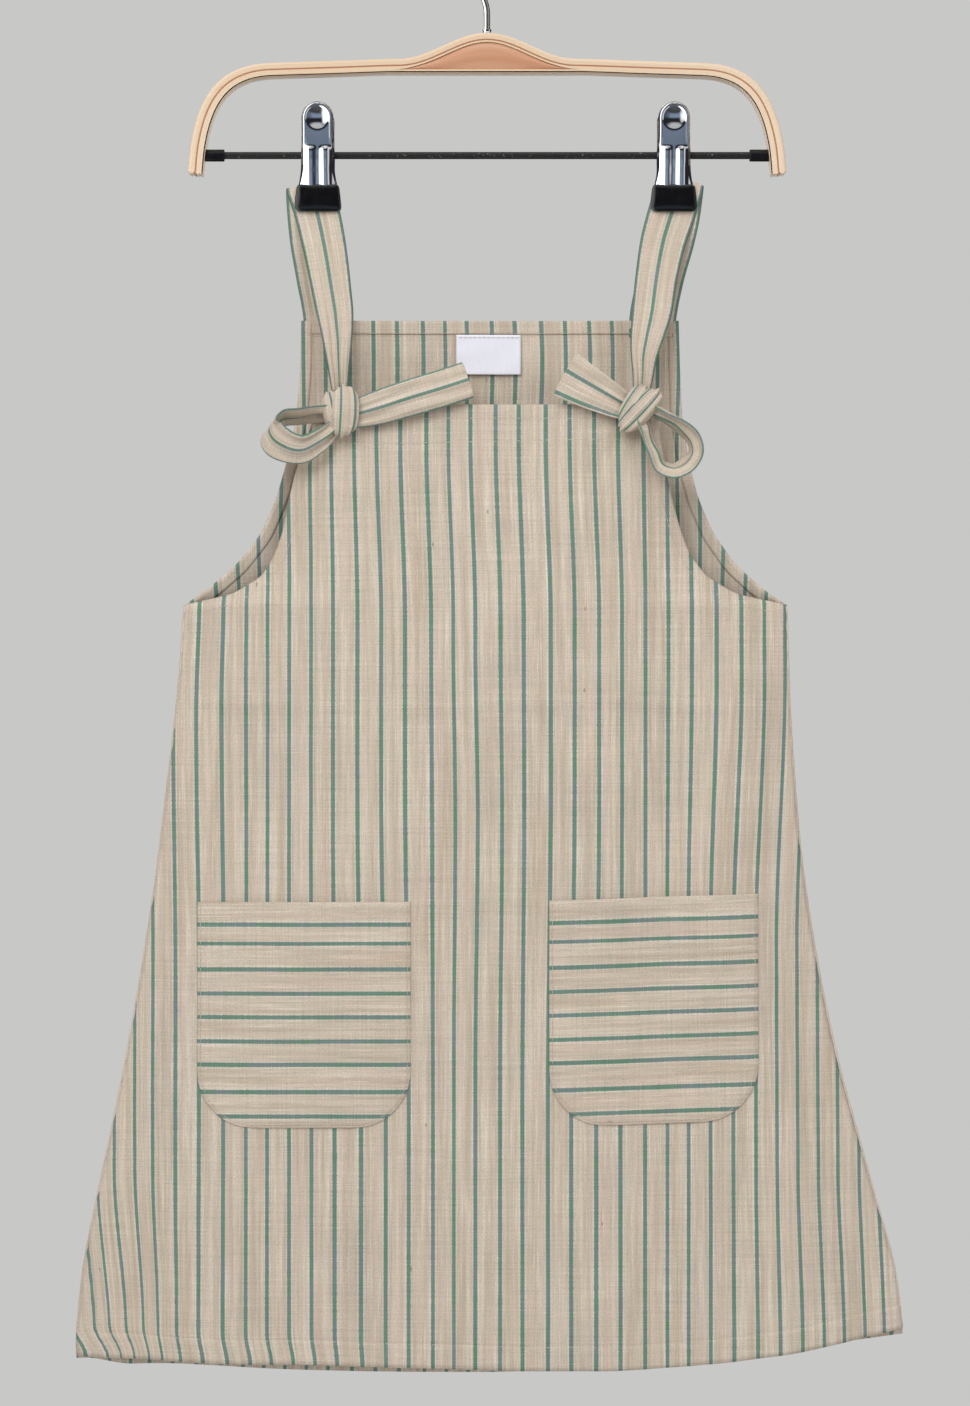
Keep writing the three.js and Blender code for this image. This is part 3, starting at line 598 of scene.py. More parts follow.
SLOTS = {entry["slot"] for entry in frame["record"]["materials"]}
LOOKS = {
    "striped_linen": make_linen(),
    "label_tape": make_label_tape(),
    "sewing_thread": make_fine("sewing_thread", 1800.0, 1.0, (rgb(186, 170, 150), rgb(214, 202, 186)),
                               (0.55, 0.75), 0.3),
    "beech": make_wood("beech", rgb(236, 216, 191), rgb(222, 194, 163), 0.42, 0.2),
    "glue_core": make_wood("glue_core", rgb(188, 136, 102), rgb(168, 114, 82), 0.55, 0.1),
    "cherry_veneer": make_wood("cherry_veneer", rgb(212, 164, 132), rgb(196, 140, 106), 0.3, 1.0),
    "plated_steel": make_metal("plated_steel", rgb(222, 224, 216), 0.22, 0.36, 0.15),
    "chrome_steel": make_metal("chrome_steel", rgb(226, 228, 232), 0.04, 0.09, 0.04),
    "black_steel": make_fine("black_steel", 900.0, 2.0, (rgb(40, 42, 40), rgb(128, 126, 120)),
                             (0.3, 0.5), 0.25, spots=(0.66, 0.72), metallic=0.3),
    "black_plastic": make_black_gloss("black_plastic", rgb(8, 8, 9), 0.2, 500.0, 0.1),
    "black_vinyl": make_black_gloss("black_vinyl", rgb(12, 12, 13), 0.1, 260.0, 0.6),
}

# ------------------------ hook


def hook_route():
    """The hook's centreline: up out of the wood, a small bend left, then the big bend over the rail."""
    straight_top = WOOD_TOP + 11
    neck_r, bend_r = 20.0, 21.0
    neck_turn, tip_turn = math.radians(60.8), math.radians(-20)
    both = neck_r + bend_r
    straight = stack(0.0, 0.0, np.linspace(WOOD_TOP - 13.5, straight_top, 8))
    neck = arc(-neck_r, straight_top, neck_r, 0, neck_turn, 20)
    bend = arc(both * math.cos(neck_turn) - neck_r, straight_top + both * math.sin(neck_turn), bend_r,
               math.pi + neck_turn, tip_turn, 90)
    return np.vstack([straight, neck, bend])


def make_hook():
    head_top = WOOD_TOP - 12.5
    head = [(0, head_top - 2), (3.6, head_top - 2), (3.6, head_top), (0, head_top)]
    points, faces = merge([tube(hook_route(), 2.0), turned(round_corner(head, 0.5))])
    add_piece("hook", points, faces, "plated_steel", "hook", "hook_wire")

    bottom, top = span("hook_ferrule", Z)
    outer = high("hook_ferrule")[X]
    profile = [(outer - 0.5, bottom), (outer + 0.5, bottom), (outer, bottom + 0.8), (outer + 0.15, top),
               (outer - 0.5, top)]
    points, faces = turned(round_corner(profile + [profile[0]], 0.18))
    add_piece("ferrule", points, faces[:-2], "chrome_steel", "hanger", "hook_ferrule")


# ------------------------ laminated wood

HUMP_HALF = 49.0
ARM_TOP = WOOD_TOP - 14.3
BEND = np.array([(119, -82.4), (146, -83.3), (158.6, -98.1), (163.4, -127.7)])
LEG_END = np.array((165, -143.4))


def hump(x):
    share = 0.5 + 0.5 * np.cos(math.pi * np.minimum(1, np.abs(x) / HUMP_HALF))
    return mix(ARM_TOP, WOOD_TOP, share)


def make_top_line():
    """The top of the frame as x, z points from the left leg's end over the hump to the right leg's end."""
    x = np.linspace(0, HUMP_HALF, 50)
    arm = np.array([(84, mix(ARM_TOP, BEND[0][1], 0.5))])
    t = np.linspace(0, 1, 60)[:, None]
    a, b, c, d = BEND
    bend = (1 - t) ** 3 * a + 3 * t * (1 - t) ** 2 * b + 3 * t * t * (1 - t) * c + t ** 3 * d
    half = np.vstack([stack(x, hump(x)), arm, bend, [LEG_END]])
    line = np.vstack([half[:0:-1] * (-1, 1), half])
    run = run_length(line)
    return smooth_curve(run, line)(np.linspace(0, run[-1], 420))


TOP_LINE = make_top_line()


def below_top(depth, hold_flat=None):
    """A line this deep under the top line; under the hump it may be held to a flat height instead."""
    along = unit(np.gradient(TOP_LINE, axis=0))
    swell = 1 + 0.13 * smooth(BEND[0][0], BEND[3][0], np.abs(TOP_LINE[:, 0]))
    line = TOP_LINE + stack(along[:, 1], -along[:, 0]) * (depth * swell)[:, None]
    if hold_flat is not None:
        off = np.abs(line[:, 0])
        held = mix(line[:, 1], hold_flat, 1 - smooth(HUMP_HALF - 4, HUMP_HALF + 8, off))
        line[:, 1] = np.where(off < HUMP_HALF + 10, held, line[:, 1])
    return line


def wood_section(half, thick, round_upper, round_lower):
    """Points round a strip's rounded rectangular section, as depth and height."""
    points = []
    quarter = np.radians(np.linspace(0, 90, 6))
    straight = np.linspace(0.5, -0.5, 7)[1:-1]
    for turn, (depth_way, height_way) in enumerate(((1, 1), (-1, 1), (-1, -1), (1, -1))):
        radius = min(round_upper if height_way > 0 else round_lower, thick * 0.49)
        angle = quarter + turn * math.pi / 2
        points.append(stack(depth_way * (half - radius) + radius * np.cos(angle),
                            height_way * (thick / 2 - radius) + radius * np.sin(angle)))
        if turn in (1, 3):
            points.append(stack(depth_way * half, height_way * straight * (thick - 2 * radius)))
    return np.vstack(points)


def laminate(name, upper, lower, rounds, look, stands_for, shy=0.0, blunt=True, swell=0.0):
    """A strip of wood between two lines, with rounded upper and lower edges and blunt or cut ends."""
    last = len(upper) - 1
    near = np.concatenate([[0, 0.03], np.linspace(0.1, 3, 14)])
    index = np.concatenate([near, np.arange(4, last - 3), last - near[::-1]])
    upper, lower = (along_line(line, np.arange(last + 1), index) for line in (upper, lower))
    run = run_length((upper + lower) / 2)
    rings, uvs = [], []
    for top, bottom, here in zip(upper, lower, run):
        thick = max(np.linalg.norm(top - bottom), 0.02)
        from_end = min(here, run[-1] - here) / (thick / 2)
        squeeze = math.sqrt(max(0.002, 1 - (1 - min(from_end, 1)) ** 2)) if blunt else 1.0
        depth, height = wood_section(WOOD_HALF_DEPTH - shy - 0.6 * (1 - squeeze), thick, *rounds).T
        depth = depth + np.sign(depth) * swell * (1 - (2 * height / thick) ** 2)
        up = unit(top - bottom)
        x, z = ((top + bottom) / 2)[:, None] + up[:, None] * height * squeeze
        rings.append(stack(x, depth, z))
        uvs.append(stack(depth + height, here))
    points, faces = loft(rings)
    return add_piece(name, points, faces, look, "hanger", stands_for, np.array(uvs))


def make_wood_frame():
    """Two plies of beech over a glue line; the lower one parts under the hump round the infill."""
    gap_floor, frame_bottom = -86.1, -88.0
    glue_top, glue_bottom, thin_ply, parting, lower_bottom = 3.45, 4.25, 5.2, 6.0, 7.7
    off = np.abs(TOP_LINE[:, 0])[:, None]
    near = off < HUMP_HALF + 2
    above = mix(below_top(thin_ply), below_top(parting), smooth(HUMP_HALF - 12, HUMP_HALF + 4, off))
    held = below_top(parting, gap_floor)
    below = np.where((held[:, 1:] < above[:, 1:]) & near, held, above)

    laminate("upper_strip", below_top(0), below_top(glue_top), (1.5, 0.1), "beech", "wood_upper_strip")
    laminate("glue_line", below_top(glue_top), below_top(glue_bottom), (0.05, 0.05), "glue_core",
             "wood_glue_core", shy=0.12)
    laminate("lower_strip_top_ply", below_top(glue_bottom), above, (0.1, 0.02), "beech", "wood_lower_strip")
    laminate("lower_strip_bottom_ply", below, below_top(lower_bottom, frame_bottom), (0.02, 1.5), "beech",
             "wood_lower_strip")

    open_places = np.flatnonzero(near[:, 0] & (above[:, 1] - below[:, 1] > 0.05))
    inside = slice(open_places[0], open_places[-1] + 1)
    laminate("wood_infill", above[inside], below[inside], (0.6, 0.6), "cherry_veneer", "wood_infill",
             shy=1.1, blunt=False, swell=1.0)


def make_bar():
    half = high("trouser_bar")[X]
    radius = high("trouser_bar")[Z] - BAR_Z
    profile = round_corner([(0, -half), (radius, -half), (radius, half), (0, half)], 0.4)
    steps = [(radius, x) for x in np.linspace(-half + 2, half - 2, 30)]
    points, faces = turned(profile[:6] + steps + profile[6:], (0, 0, BAR_Z), "x", 40)
    add_piece("bar", points, faces, "black_steel", "hanger", "trouser_bar")
    for side, way in (("left", -1), ("right", 1)):
        node = f"bar_bush_{side}"
        inner, end = sorted(np.abs(span(node, X)))
        outer = high(node)[Z] - BAR_Z
        profile = [(0, inner + 0.35), (radius + 0.1, inner), (outer, inner), (outer, end), (0, end)]
        profile = [(r, way * x) for r, x in round_corner(profile, 0.7)]
        add_piece(f"bush_{side}", *turned(profile, (0, 0, BAR_Z), "x", 40), "black_plastic", "hanger", node)


# ------------------------ clips

JAW_BOTTOM, JAW_TOP = -30.9, 28.2
HEAD_R = 8.5
HEAD_CENTRE = JAW_TOP - HEAD_R
HEAD_FOOT = 16.0
DISH_CENTRE = 19.8
TIP_TOP, TIP_BOTTOM = -16.4, -31.3
PLATE = 0.8


def jaw_half_width(z):
    """Half the width of a jaw at a height above the bar."""
    body = smooth_curve([-31, -17, -13, -8.5, 0, 11, 20], [10.5, 10.5, 9.75, 9.1, 8.9, 8.45, 8.5])(z)
    head = np.sqrt(np.maximum(0.0, HEAD_R ** 2 - np.maximum(0, z - HEAD_CENTRE) ** 2))
    return np.where(z > HEAD_CENTRE, head, body)


def jaw_depth(z):
    """How far a jaw stands from the bar's middle at a height above the bar."""
    return smooth_curve([-31, -17, -11, -5, 0, 10, 28.6], [3.05, 3.05, 4.7, 6.7, 7.6, 9.2, 12.3])(z)


def jaw_relief(x, z):
    """The pressed shape: two ridges beside a groove below, a round thumb dish above, and a beaded rim."""
    off_centre = np.hypot(x, z - HEAD_CENTRE)
    from_edge = np.where(z > HEAD_CENTRE, HEAD_R - off_centre, jaw_half_width(z) - np.abs(x))
    ridges = 1.3 * (0.5 - 0.5 * np.cos(TAU * x / 9.0)) * (1 - smooth(2.2, 4.6, z)) * smooth(-30, -20, z)
    crown = -0.016 * x * x
    dish = -2.0 * np.maximum(0, 1 - (x * x + (z - DISH_CENTRE) ** 2) / 46) ** 1.3
    bead = 0.45 * hill(from_edge, 1.25, 0.7) * smooth(5, 9, z)
    return ridges + crown + dish + bead - 0.9 * smooth(1.15, 0, from_edge)


def jaw_place(side, which):
    """The way a jaw faces along y, and the body that it rides on."""
    return {"front": (-1, f"{side}_front_jaw"), "back": (1, f"{side}_clip")}[which]


def make_jaw(side, which):
    sign, body = jaw_place(side, which)
    head = JAW_TOP - (JAW_TOP - HEAD_FOOT) * (1 - np.cos(np.linspace(0, math.pi / 2, 26)))
    z = np.concatenate([head[:-1], np.linspace(HEAD_FOOT, JAW_BOTTOM, 75)])[:, None]
    x = np.linspace(-1, 1, 57) * np.maximum(jaw_half_width(z), 0.05)
    points = stack(x + CLIP_X[side], sign * (jaw_depth(z) + jaw_relief(x, z)), z + BAR_Z)
    jaw = add_piece(f"{side}_{which}_jaw", points, grid_faces(*x.shape)[:, ::sign], "chrome_steel", body,
                    f"{side}_clip_{which}_jaw")
    thicken(jaw, PLATE, 0.22)
    ear_x = {"front": 6.6, "back": 7.8}[which]
    for name, way in (("inner", -1), ("outer", 1)):
        add_ear(f"{side}_{which}_ear_{name}", CLIP_X[side] + way * ear_x, sign, body)


def add_ear(name, x, sign, body):
    """A plate from the jaw to an eye round the bar, its rim rounded."""
    ring_r, hole_r, bevel = 4.2, 2.25, 0.15
    eye = [(-ring_r * math.cos(a), ring_r * math.sin(a)) for a in np.linspace(-math.pi / 2, math.pi / 2, 15)]
    hole = [(hole_r * math.cos(a), hole_r * math.sin(a)) for a in turns(24)]
    curve = bpy.data.curves.new(name, "CURVE")
    curve.dimensions = "2D"
    curve.fill_mode = "BOTH"
    curve.extrude = PLATE / 2 - bevel
    curve.bevel_depth = bevel
    curve.bevel_resolution = 3
    curve.offset = -bevel
    for outline in (eye + [(7.3, 4.2), (7.0, -4.4)], hole):
        spline = curve.splines.new("POLY")
        spline.points.add(len(outline) - 1)
        for point, (y, z) in zip(spline.points, outline):
            point.co = (sign * y, z, 0, 1)
        spline.use_cyclic_u = True
    holder = add_to_scene(name, curve)
    depsgraph = bpy.context.evaluated_depsgraph_get()
    shape = bpy.data.meshes.new_from_object(holder.evaluated_get(depsgraph))
    bpy.data.objects.remove(holder)
    bpy.data.curves.remove(curve)
    y, z, across = np.array([vertex.co for vertex in shape.vertices]).T
    faces = [list(polygon.vertices) for polygon in shape.polygons]
    add_piece(name, stack(across + x, y, z + BAR_Z), faces, "chrome_steel", body, None)
    bpy.data.meshes.remove(shape)


def rounding(from_end, radius):
    """1 at an end, falling to 0 at this radius from it as a quarter circle does."""
    return 1 - math.sqrt(max(0, 1 - (1 - min(1, from_end / radius)) ** 2))


def make_tip(side, which):
    """A dipped vinyl cap: a soft block, a little wider at its foot."""
    sign, body = jaw_place(side, which)
    inner, outer = 1.45, 4.85
    foot_round, crest_round = 3.4, 1.9
    cosine, sine = np.cos(turns(80)), np.sin(turns(80))
    rings = []
    for t in np.linspace(0, 1, 44):
        z = mix(TIP_BOTTOM, TIP_TOP, 0.5 - 0.5 * math.cos(math.pi * t))
        up = (z - TIP_BOTTOM) / (TIP_TOP - TIP_BOTTOM)
        foot = rounding(z - TIP_BOTTOM, foot_round)
        crest = rounding(TIP_TOP - z, crest_round)
        half_x = mix(12.95, 11.6, up ** 1.6) - foot_round * foot - 1.4 * crest
        half_y = (outer - inner) / 2 * (1 - 0.75 * foot - 0.55 * crest)
        x = half_x * np.sign(cosine) * np.abs(cosine) ** 0.55
        y = half_y * np.sign(sine) * np.abs(sine) ** 0.7
        y = y + 0.6 * (1 - (x / 13) ** 2) * (y > 0) * math.sin(math.pi * up) - 0.15
        rings.append(stack(x + CLIP_X[side], sign * (y + (outer + inner) / 2), z + BAR_Z))
    add_piece(f"{side}_{which}_tip", *loft(rings), "black_vinyl", body, f"{side}_clip_{which}_tip")


def make_spring(side):
    """A leaf spring bent under the bar, its legs up against the jaws."""
    radius, leaf, half_width = 2.8, 0.6, 4.5
    turn = np.linspace(math.pi * 1.05, math.pi * 1.95, 17)
    leg = np.array([(-8.9, 19.5), (-7.4, 14), (-5.6, 8), (-3.9, 3)])
    route = np.vstack([leg, radius * stack(np.cos(turn), np.sin(turn)), leg[::-1] * (-1, 1)])
    run = run_length(route)
    y, z = smooth_curve(run, route)(np.linspace(0, run[-1], 70)).T[:, :, None]
    points = stack(CLIP_X[side] + np.linspace(-half_width, half_width, 5), y, z + BAR_Z)
    spring = add_piece(f"{side}_spring", points, grid_faces(*points.shape[:2]), "black_steel", None,
                       f"{side}_clip_spring")
    thicken(spring, leaf, 0.12)
    apply_modifiers(spring)
    x, z = CLIP_X[side] * MM, BAR_Z * MM
    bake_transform(spring)


def make_clips():
    for side in SIDES:
        for which in ("back", "front"):
            make_jaw(side, which)
            make_tip(side, which)
        make_spring(side)


# ------------------------ cloth: stripes and surfaces

FIRST_STRIPE = -223.0
STRIPE_GAPS = (
    8, 9.5, 11.5, 10, 13, 13, 13.5, 12.5, 11.5, 12, 12, 12, 13.5, 13, 13, 14.5, 12, 12, 14, 12.5, 15, 13,
    13.5, 12.5, 13, 12, 11.5, 12, 12.5, 12.5, 11.5, 11.5, 11.5, 11, 12, 10.5, 12,
)
POCKET_GAPS = (17.4, 9.8, 14.4, 13.2, 12.9, 13.3, 12.6, 15.1, 13.2, 13)
POCKET_FIRST = -4.6
CLOTH = 0.7
HEM_TURN = 13.0
NECK_TURN = 7.6

# x at the top and at the bottom, half width, height towards the viewer, and z of the start, peak and end
FRONT_FOLDS = (
    (-132, -124, 17, -4.6, -370, -470, -610), (-160, -178, 15, 3.2, -400, -560, -720),
    (88, 104, 20, -5.0, -300, -470, -760), (132, 150, 18, 3.2, -380, -520, -720),
    (-20, -8, 34, 2.8, -330, -500, -700), (48, 40, 16, 1.4, -290, -360, -460),
    (-60, -52, 14, -1.4, -285, -340, -430), (-196, -186, 13, -5.4, -560, -760, -860),
    (-150, -140, 20, 3.4, -600, -790, -880), (-95, -92, 20, -3.2, -640, -800, -880),
    (10, 8, 26, 3.4, -640, -800, -880), (92, 100, 22, -3.8, -620, -790, -880),
    (160, 172, 17, 4.0, -600, -780, -880), (205, 208, 10, -2.6, -660, -790, -880),
)
# creases pressed across the front: z, where each starts and ends in x, and its height
CREASES = ((-435.9, -160, 150, 1.1), (-452.5, -50, 38, 0.8), (-544.5, -45, 36, 0.6))
# small folds that run from the knots into the bib: x, z, direction in degrees and height
PULLS = (
    (-73, -281, -40, 1.5), (-70, -278, -62, -1.3), (-84, -286, -80, 1.1),
    (72, -284, 196, 1.2), (76, -287, 232, -1.2), (86, -290, 262, 1.0),
)


def even_place(place, first, gaps):
    """Turns a place on the unevenly striped cloth into one where the stripes are STRIPE_PITCH apart."""
    stripes = first + np.concatenate([[0], np.cumsum(gaps)])
    stripes = np.concatenate([[first - STRIPE_PITCH * 3], stripes, [stripes[-1] + STRIPE_PITCH * 3]])
    counts = np.concatenate([[-3], np.arange(len(gaps) + 1), [len(gaps) + 3]])
    return np.interp(place, stripes, counts) * STRIPE_PITCH


def front_relief(x, z):
    total = np.zeros(np.broadcast(x, z).shape)
    for x_top, x_bottom, width, height, z_top, z_peak, z_bottom in FRONT_FOLDS:
        centre = mix(x_top, x_bottom, np.clip((z_top - z) / (z_top - z_bottom), 0, 1))
        total += height * hill(x, centre, width) * ramp_between(z, z_top, z_peak, z_bottom)
    for level, start, end, height in CREASES:
        wander = 1.4 * np.sin(x / 31) + 0.8 * np.sin(x / 11 + 1)
        along = smooth(start - 12, start + 12, x) * (1 - smooth(end - 12, end + 12, x))
        total += height * along * hill(z, level + wander, 1.6)
    for knot_x, knot_z, degrees, height in PULLS:
        c, s = math.cos(math.radians(degrees)), math.sin(math.radians(degrees))
        along = (x - knot_x) * c + (z - knot_z) * s
        beside = (z - knot_z) * c - (x - knot_x) * s
        ends = smooth(-4, 5, along) * smooth(38, 12, along)
        total += height * hill(beside, 0, 2.6 + np.abs(along) / 9) * ends
    return total + ripples(x, z, ((0.55, 60, 3), (0.16, 19, 4), (0.06, 8, 5)))


def back_relief(x, z):
    flutes = 2.4 * np.sin((x + 30) / 27) * smooth(-480, -790, z)
    hollow = -2.0 * hill(x, 20, 60) * ramp_between(z, -240, -420, -640)
    return flutes + hollow + ripples(x, z, ((0.6, 66, 13), (0.18, 21, 14), (0.06, 8, 15)))


def front_drop(x):
    return -2.0


def back_drop(x):
    """The back hangs a little lower than the front, most in the middle and on the left."""
    return 1.0 + 5.6 * smooth(95, -10, x) - 3.0 * smooth(-110, -190, x) - 4.2 * smooth(-196, -222, x)


class Panel:
    """One side of the dress: its outline from the CAD node, its depth, its relief and its hem's drop."""

    def __init__(self, word, sign, depths, open_edge, relief, drop):
        self.word = word
        self.sign = sign
        self.open_edge = open_edge
        self.relief = relief
        self.drop = drop
        node = f"{word}_panel"
        self.top = high(node)[Z]
        skirt_z = np.linspace(HEM + 22, UNDERARM - 0.3, 12)
        arm_z = UNDERARM + 0.02 + (self.top - UNDERARM - 0.04) * np.linspace(0, 1, 90) ** 2
        ends = zip(cut(node, Z, X, skirt_z).T, cut(node, Z, X, arm_z).T)
        self.left, self.right = (self.edge_line(skirt_z, skirt_x, arm_z, arm_x) for skirt_x, arm_x in ends)
        left, right = span(node, X)
        columns = np.linspace(left + 0.5, right - 0.5, 30)
        self.low_edge = smooth_curve(columns, cut(node, X, Z, columns)[:, 0])
        top_depth, arm_depth, hem_depth = depths
        self.depth_at = smooth_curve([HEM, (HEM + UNDERARM) / 2, UNDERARM, self.top],
                                     [hem_depth, (hem_depth + arm_depth) / 2, arm_depth, top_depth])

    @staticmethod
    def edge_line(skirt_z, skirt_x, arm_z, arm_x):
        """x of one side of the panel as a function of z, down the armhole and the skirt."""
        skirt = smooth_curve(skirt_z, skirt_x)
        arm = even_line(stack(arm_z, arm_x), 80, 3)
        return lambda z: np.where(np.asarray(z) > UNDERARM, np.interp(z, arm[:, 0], arm[:, 1]), skirt(z))

    def edges(self, z):
        return self.left(z), self.right(z)

    def side(self, side):
        """One edge, and 1 or -1 as the cloth lies to its right or left."""
        return {"left": (self.left, 1), "right": (self.right, -1)}[side]

    def hem(self, x):
        return self.low_edge(x) - self.drop(x)

    def surface(self, x, z, out=0.0):
        """y of the panel at x, z, moved out by so many millimetres away from the wearer."""
        left, right = self.edges(z)
        across = np.minimum(1, np.abs((2 * x - left - right) / (right - left)))
        open_share = smooth(UNDERARM, mix(UNDERARM, self.top, 0.75), z)
        edge = mix(CLOTH / 2 + 0.05, self.open_edge, open_share)
        calm = mix(smooth(0, 0.12, 1 - across), 1, 0.35 * open_share)
        crown = (self.depth_at(z) - edge) * (1 - across ** 4)
        return self.sign * (edge + crown + self.relief(x, z) * calm + out)

    def arm_rows(self):
        """z of each row of the mesh beside the armhole, closer together where it turns."""
        fine = np.linspace(self.top, UNDERARM, 1500)
        left, right = self.edges(fine)
        run = run_length(stack((right - left) / 2, fine))
        return np.interp(np.linspace(0, run[-1], 62), run, fine)


FRONT = Panel("front", -1, (11, 14, 20), 10, front_relief, front_drop)
BACK = Panel("back", 1, (10, 17, 22), 9, back_relief, back_drop)


def front_lean(x, z):
    """How far the stripes are carried sideways from their straight run."""
    bib = -2.7 * smooth(-390, -290, z) * (1 - 0.7 * smooth(58, 95, np.abs(x)))
    right_top = 5.2 * smooth(85, 150, x) * smooth(-570, -420, z)
    left_top = -2.0 * smooth(-120, -158, x) * ramp_between(z, -360, -440, -590)
    middle_top = 1.4 * hill(x, -8, 22) * ramp_between(z, -400, -500, -640)
    drawn_in = (2.6 * hill(x, -56, 28) - 2.0 * hill(x, 48, 30)) * smooth(-480, -660, z)
    hem_left = 7.5 * smooth(-160, -205, x) * smooth(-690, -790, z)
    kink = (2.6 * smooth(-40, -120, x) + 5 * smooth(-170, -215, x)) * smooth(17, 0, z - FRONT.hem(x))
    right_hem = 3.2 * smooth(120, 200, x) * smooth(-690, -790, z)
    return bib + right_top + left_top + middle_top + drawn_in + hem_left + kink + right_hem


def front_weave(x, z):
    return stack(even_place(x - front_lean(x, z), FIRST_STRIPE, STRIPE_GAPS), z)


def back_weave(x, z):
    lean = 0.6 * ripple(x * 0.3, z, 100, 22) + 1.5 * smooth(-500, -300, z)
    return stack(even_place(x + 3.6 + lean, FIRST_STRIPE, STRIPE_GAPS), z + 140)


def make_panel(panel, weave):
    """The panel as one curved sheet with its stitched hem and top."""
    a = np.linspace(0, 1, 156)
    arm_z = panel.arm_rows()[:, None]
    arm = stack(mix(*panel.edges(arm_z), a), arm_z)
    fine_hem = 1 - np.array((11, 12, 12.6, 13, 13.4, 14, 15)) / (UNDERARM - HEM)
    down = np.unique(np.concatenate([np.linspace(0, 1, 140)[1:], fine_hem]))[:, None]
    x = mix(*(edge(mix(UNDERARM, panel.hem(edge(HEM)), down)) for edge in (panel.left, panel.right)), a)
    skirt = stack(x, mix(UNDERARM, panel.hem(x), down))
    x, z = np.moveaxis(np.vstack([arm, skirt]), -1, 0)

    above_hem = z - panel.hem(x)
    stitched = 0.3 * hill(above_hem, HEM_TURN, 0.8) + 0.28 * hill(panel.top - z, NECK_TURN, 1.1)
    band = 0.35 * (1 - smooth(12.6, 13.4, above_hem))
    pucker = 0.22 * np.sin(x / 1.9 + ripple(x, z, 14, 31)) * hill(above_hem, 9, 6)
    points = stack(x, panel.surface(x, z, band - stitched + pucker), z)
    return add_cloth(panel.word, points, grid_faces(*x.shape)[:, ::panel.sign], "garment",
                     f"{panel.word}_panel", weave(x, z), CLOTH)


def armhole_line(panel, side):
    """Points down an armhole edge in x, z, and at each the direction into the cloth."""
    edge, inward = panel.side(side)
    fine = np.linspace(panel.top - 1.2, UNDERARM + 1.2, 800)
    line = even_line(stack(edge(fine), fine), 70)
    along = unit(np.gradient(line, axis=0))
    return line, stack(-along[:, 1], along[:, 0]) * inward


def make_dress():
    """Both panels, each with the turned edges inside its top and armholes."""
    for panel, top_node, top_height, weave in ((FRONT, "front_bib_facing", 22, front_weave),
                                               (BACK, "back_neck_facing", NECK_TURN, back_weave)):
        cloth = make_panel(panel, weave)
        z = np.linspace(panel.top - 0.4, panel.top - top_height, 9)[:, None]
        lattices = {top_node: stack(mix(panel.left(z) + 6, panel.right(z) - 6, np.linspace(0, 1, 110)), z)}
        for side in SIDES:
            line, normal = armhole_line(panel, side)
            inwards = normal[:, None, :] * np.linspace(0.3, 6.3, 5)[:, None]
            lattices[f"{panel.word}_armhole_facing_{side}"] = line[:, None, :] + inwards
        for node, lattice in lattices.items():
            x, z = np.moveaxis(lattice, -1, 0)
            points = stack(x, panel.surface(x, z, -(CLOTH / 2 + 0.17)), z)
            add_cloth(node + "_turn", points, grid_faces(*x.shape), "garment", node,
                                      weave(x, z), 0.3)


# ------------------------ stitches, pockets and label

STITCH, STITCH_GAP = 2.6, 0.55
STITCH_RISE, STITCH_SUNK = 0.34, 0.24
THREAD_RADIUS = 0.17


def sew(name, panel, line, out, length=STITCH, body="garment"):
    """A row of small arched stitches along a line of x, z points, so far out from a panel's middle."""
    x, z = even_line(line, max(2, int(run_length(line)[-1] / 0.6))).T
    points = stack(x, panel.surface(x, z, out), z)
    outward = np.array([0.0, float(panel.sign) * (1 if out >= 0 else -1), 0.0])
    run = run_length(points)
    count = int(run[-1] / (length + STITCH_GAP))
    t = np.linspace(0, 1, 6)
    angles = turns(6)[:, None]
    stitches = []
    for start in (np.arange(count) + 0.2) * run[-1] / count:
        centre = along_line(points, run, start + t * length)
        centre = centre + outward * (STITCH_RISE * np.sin(math.pi * t) - STITCH_SUNK)[:, None]
        along = unit(np.gradient(centre, axis=0))
        side = unit(np.cross(along, outward))
        other = np.cross(side, along)
        ring = np.cos(angles) * side[:, None, :] + np.sin(angles) * other[:, None, :]
        stitches.append(loft(centre[:, None, :] + THREAD_RADIUS * ring))
    return add_piece(name, *merge(stitches), "sewing_thread", body, None)


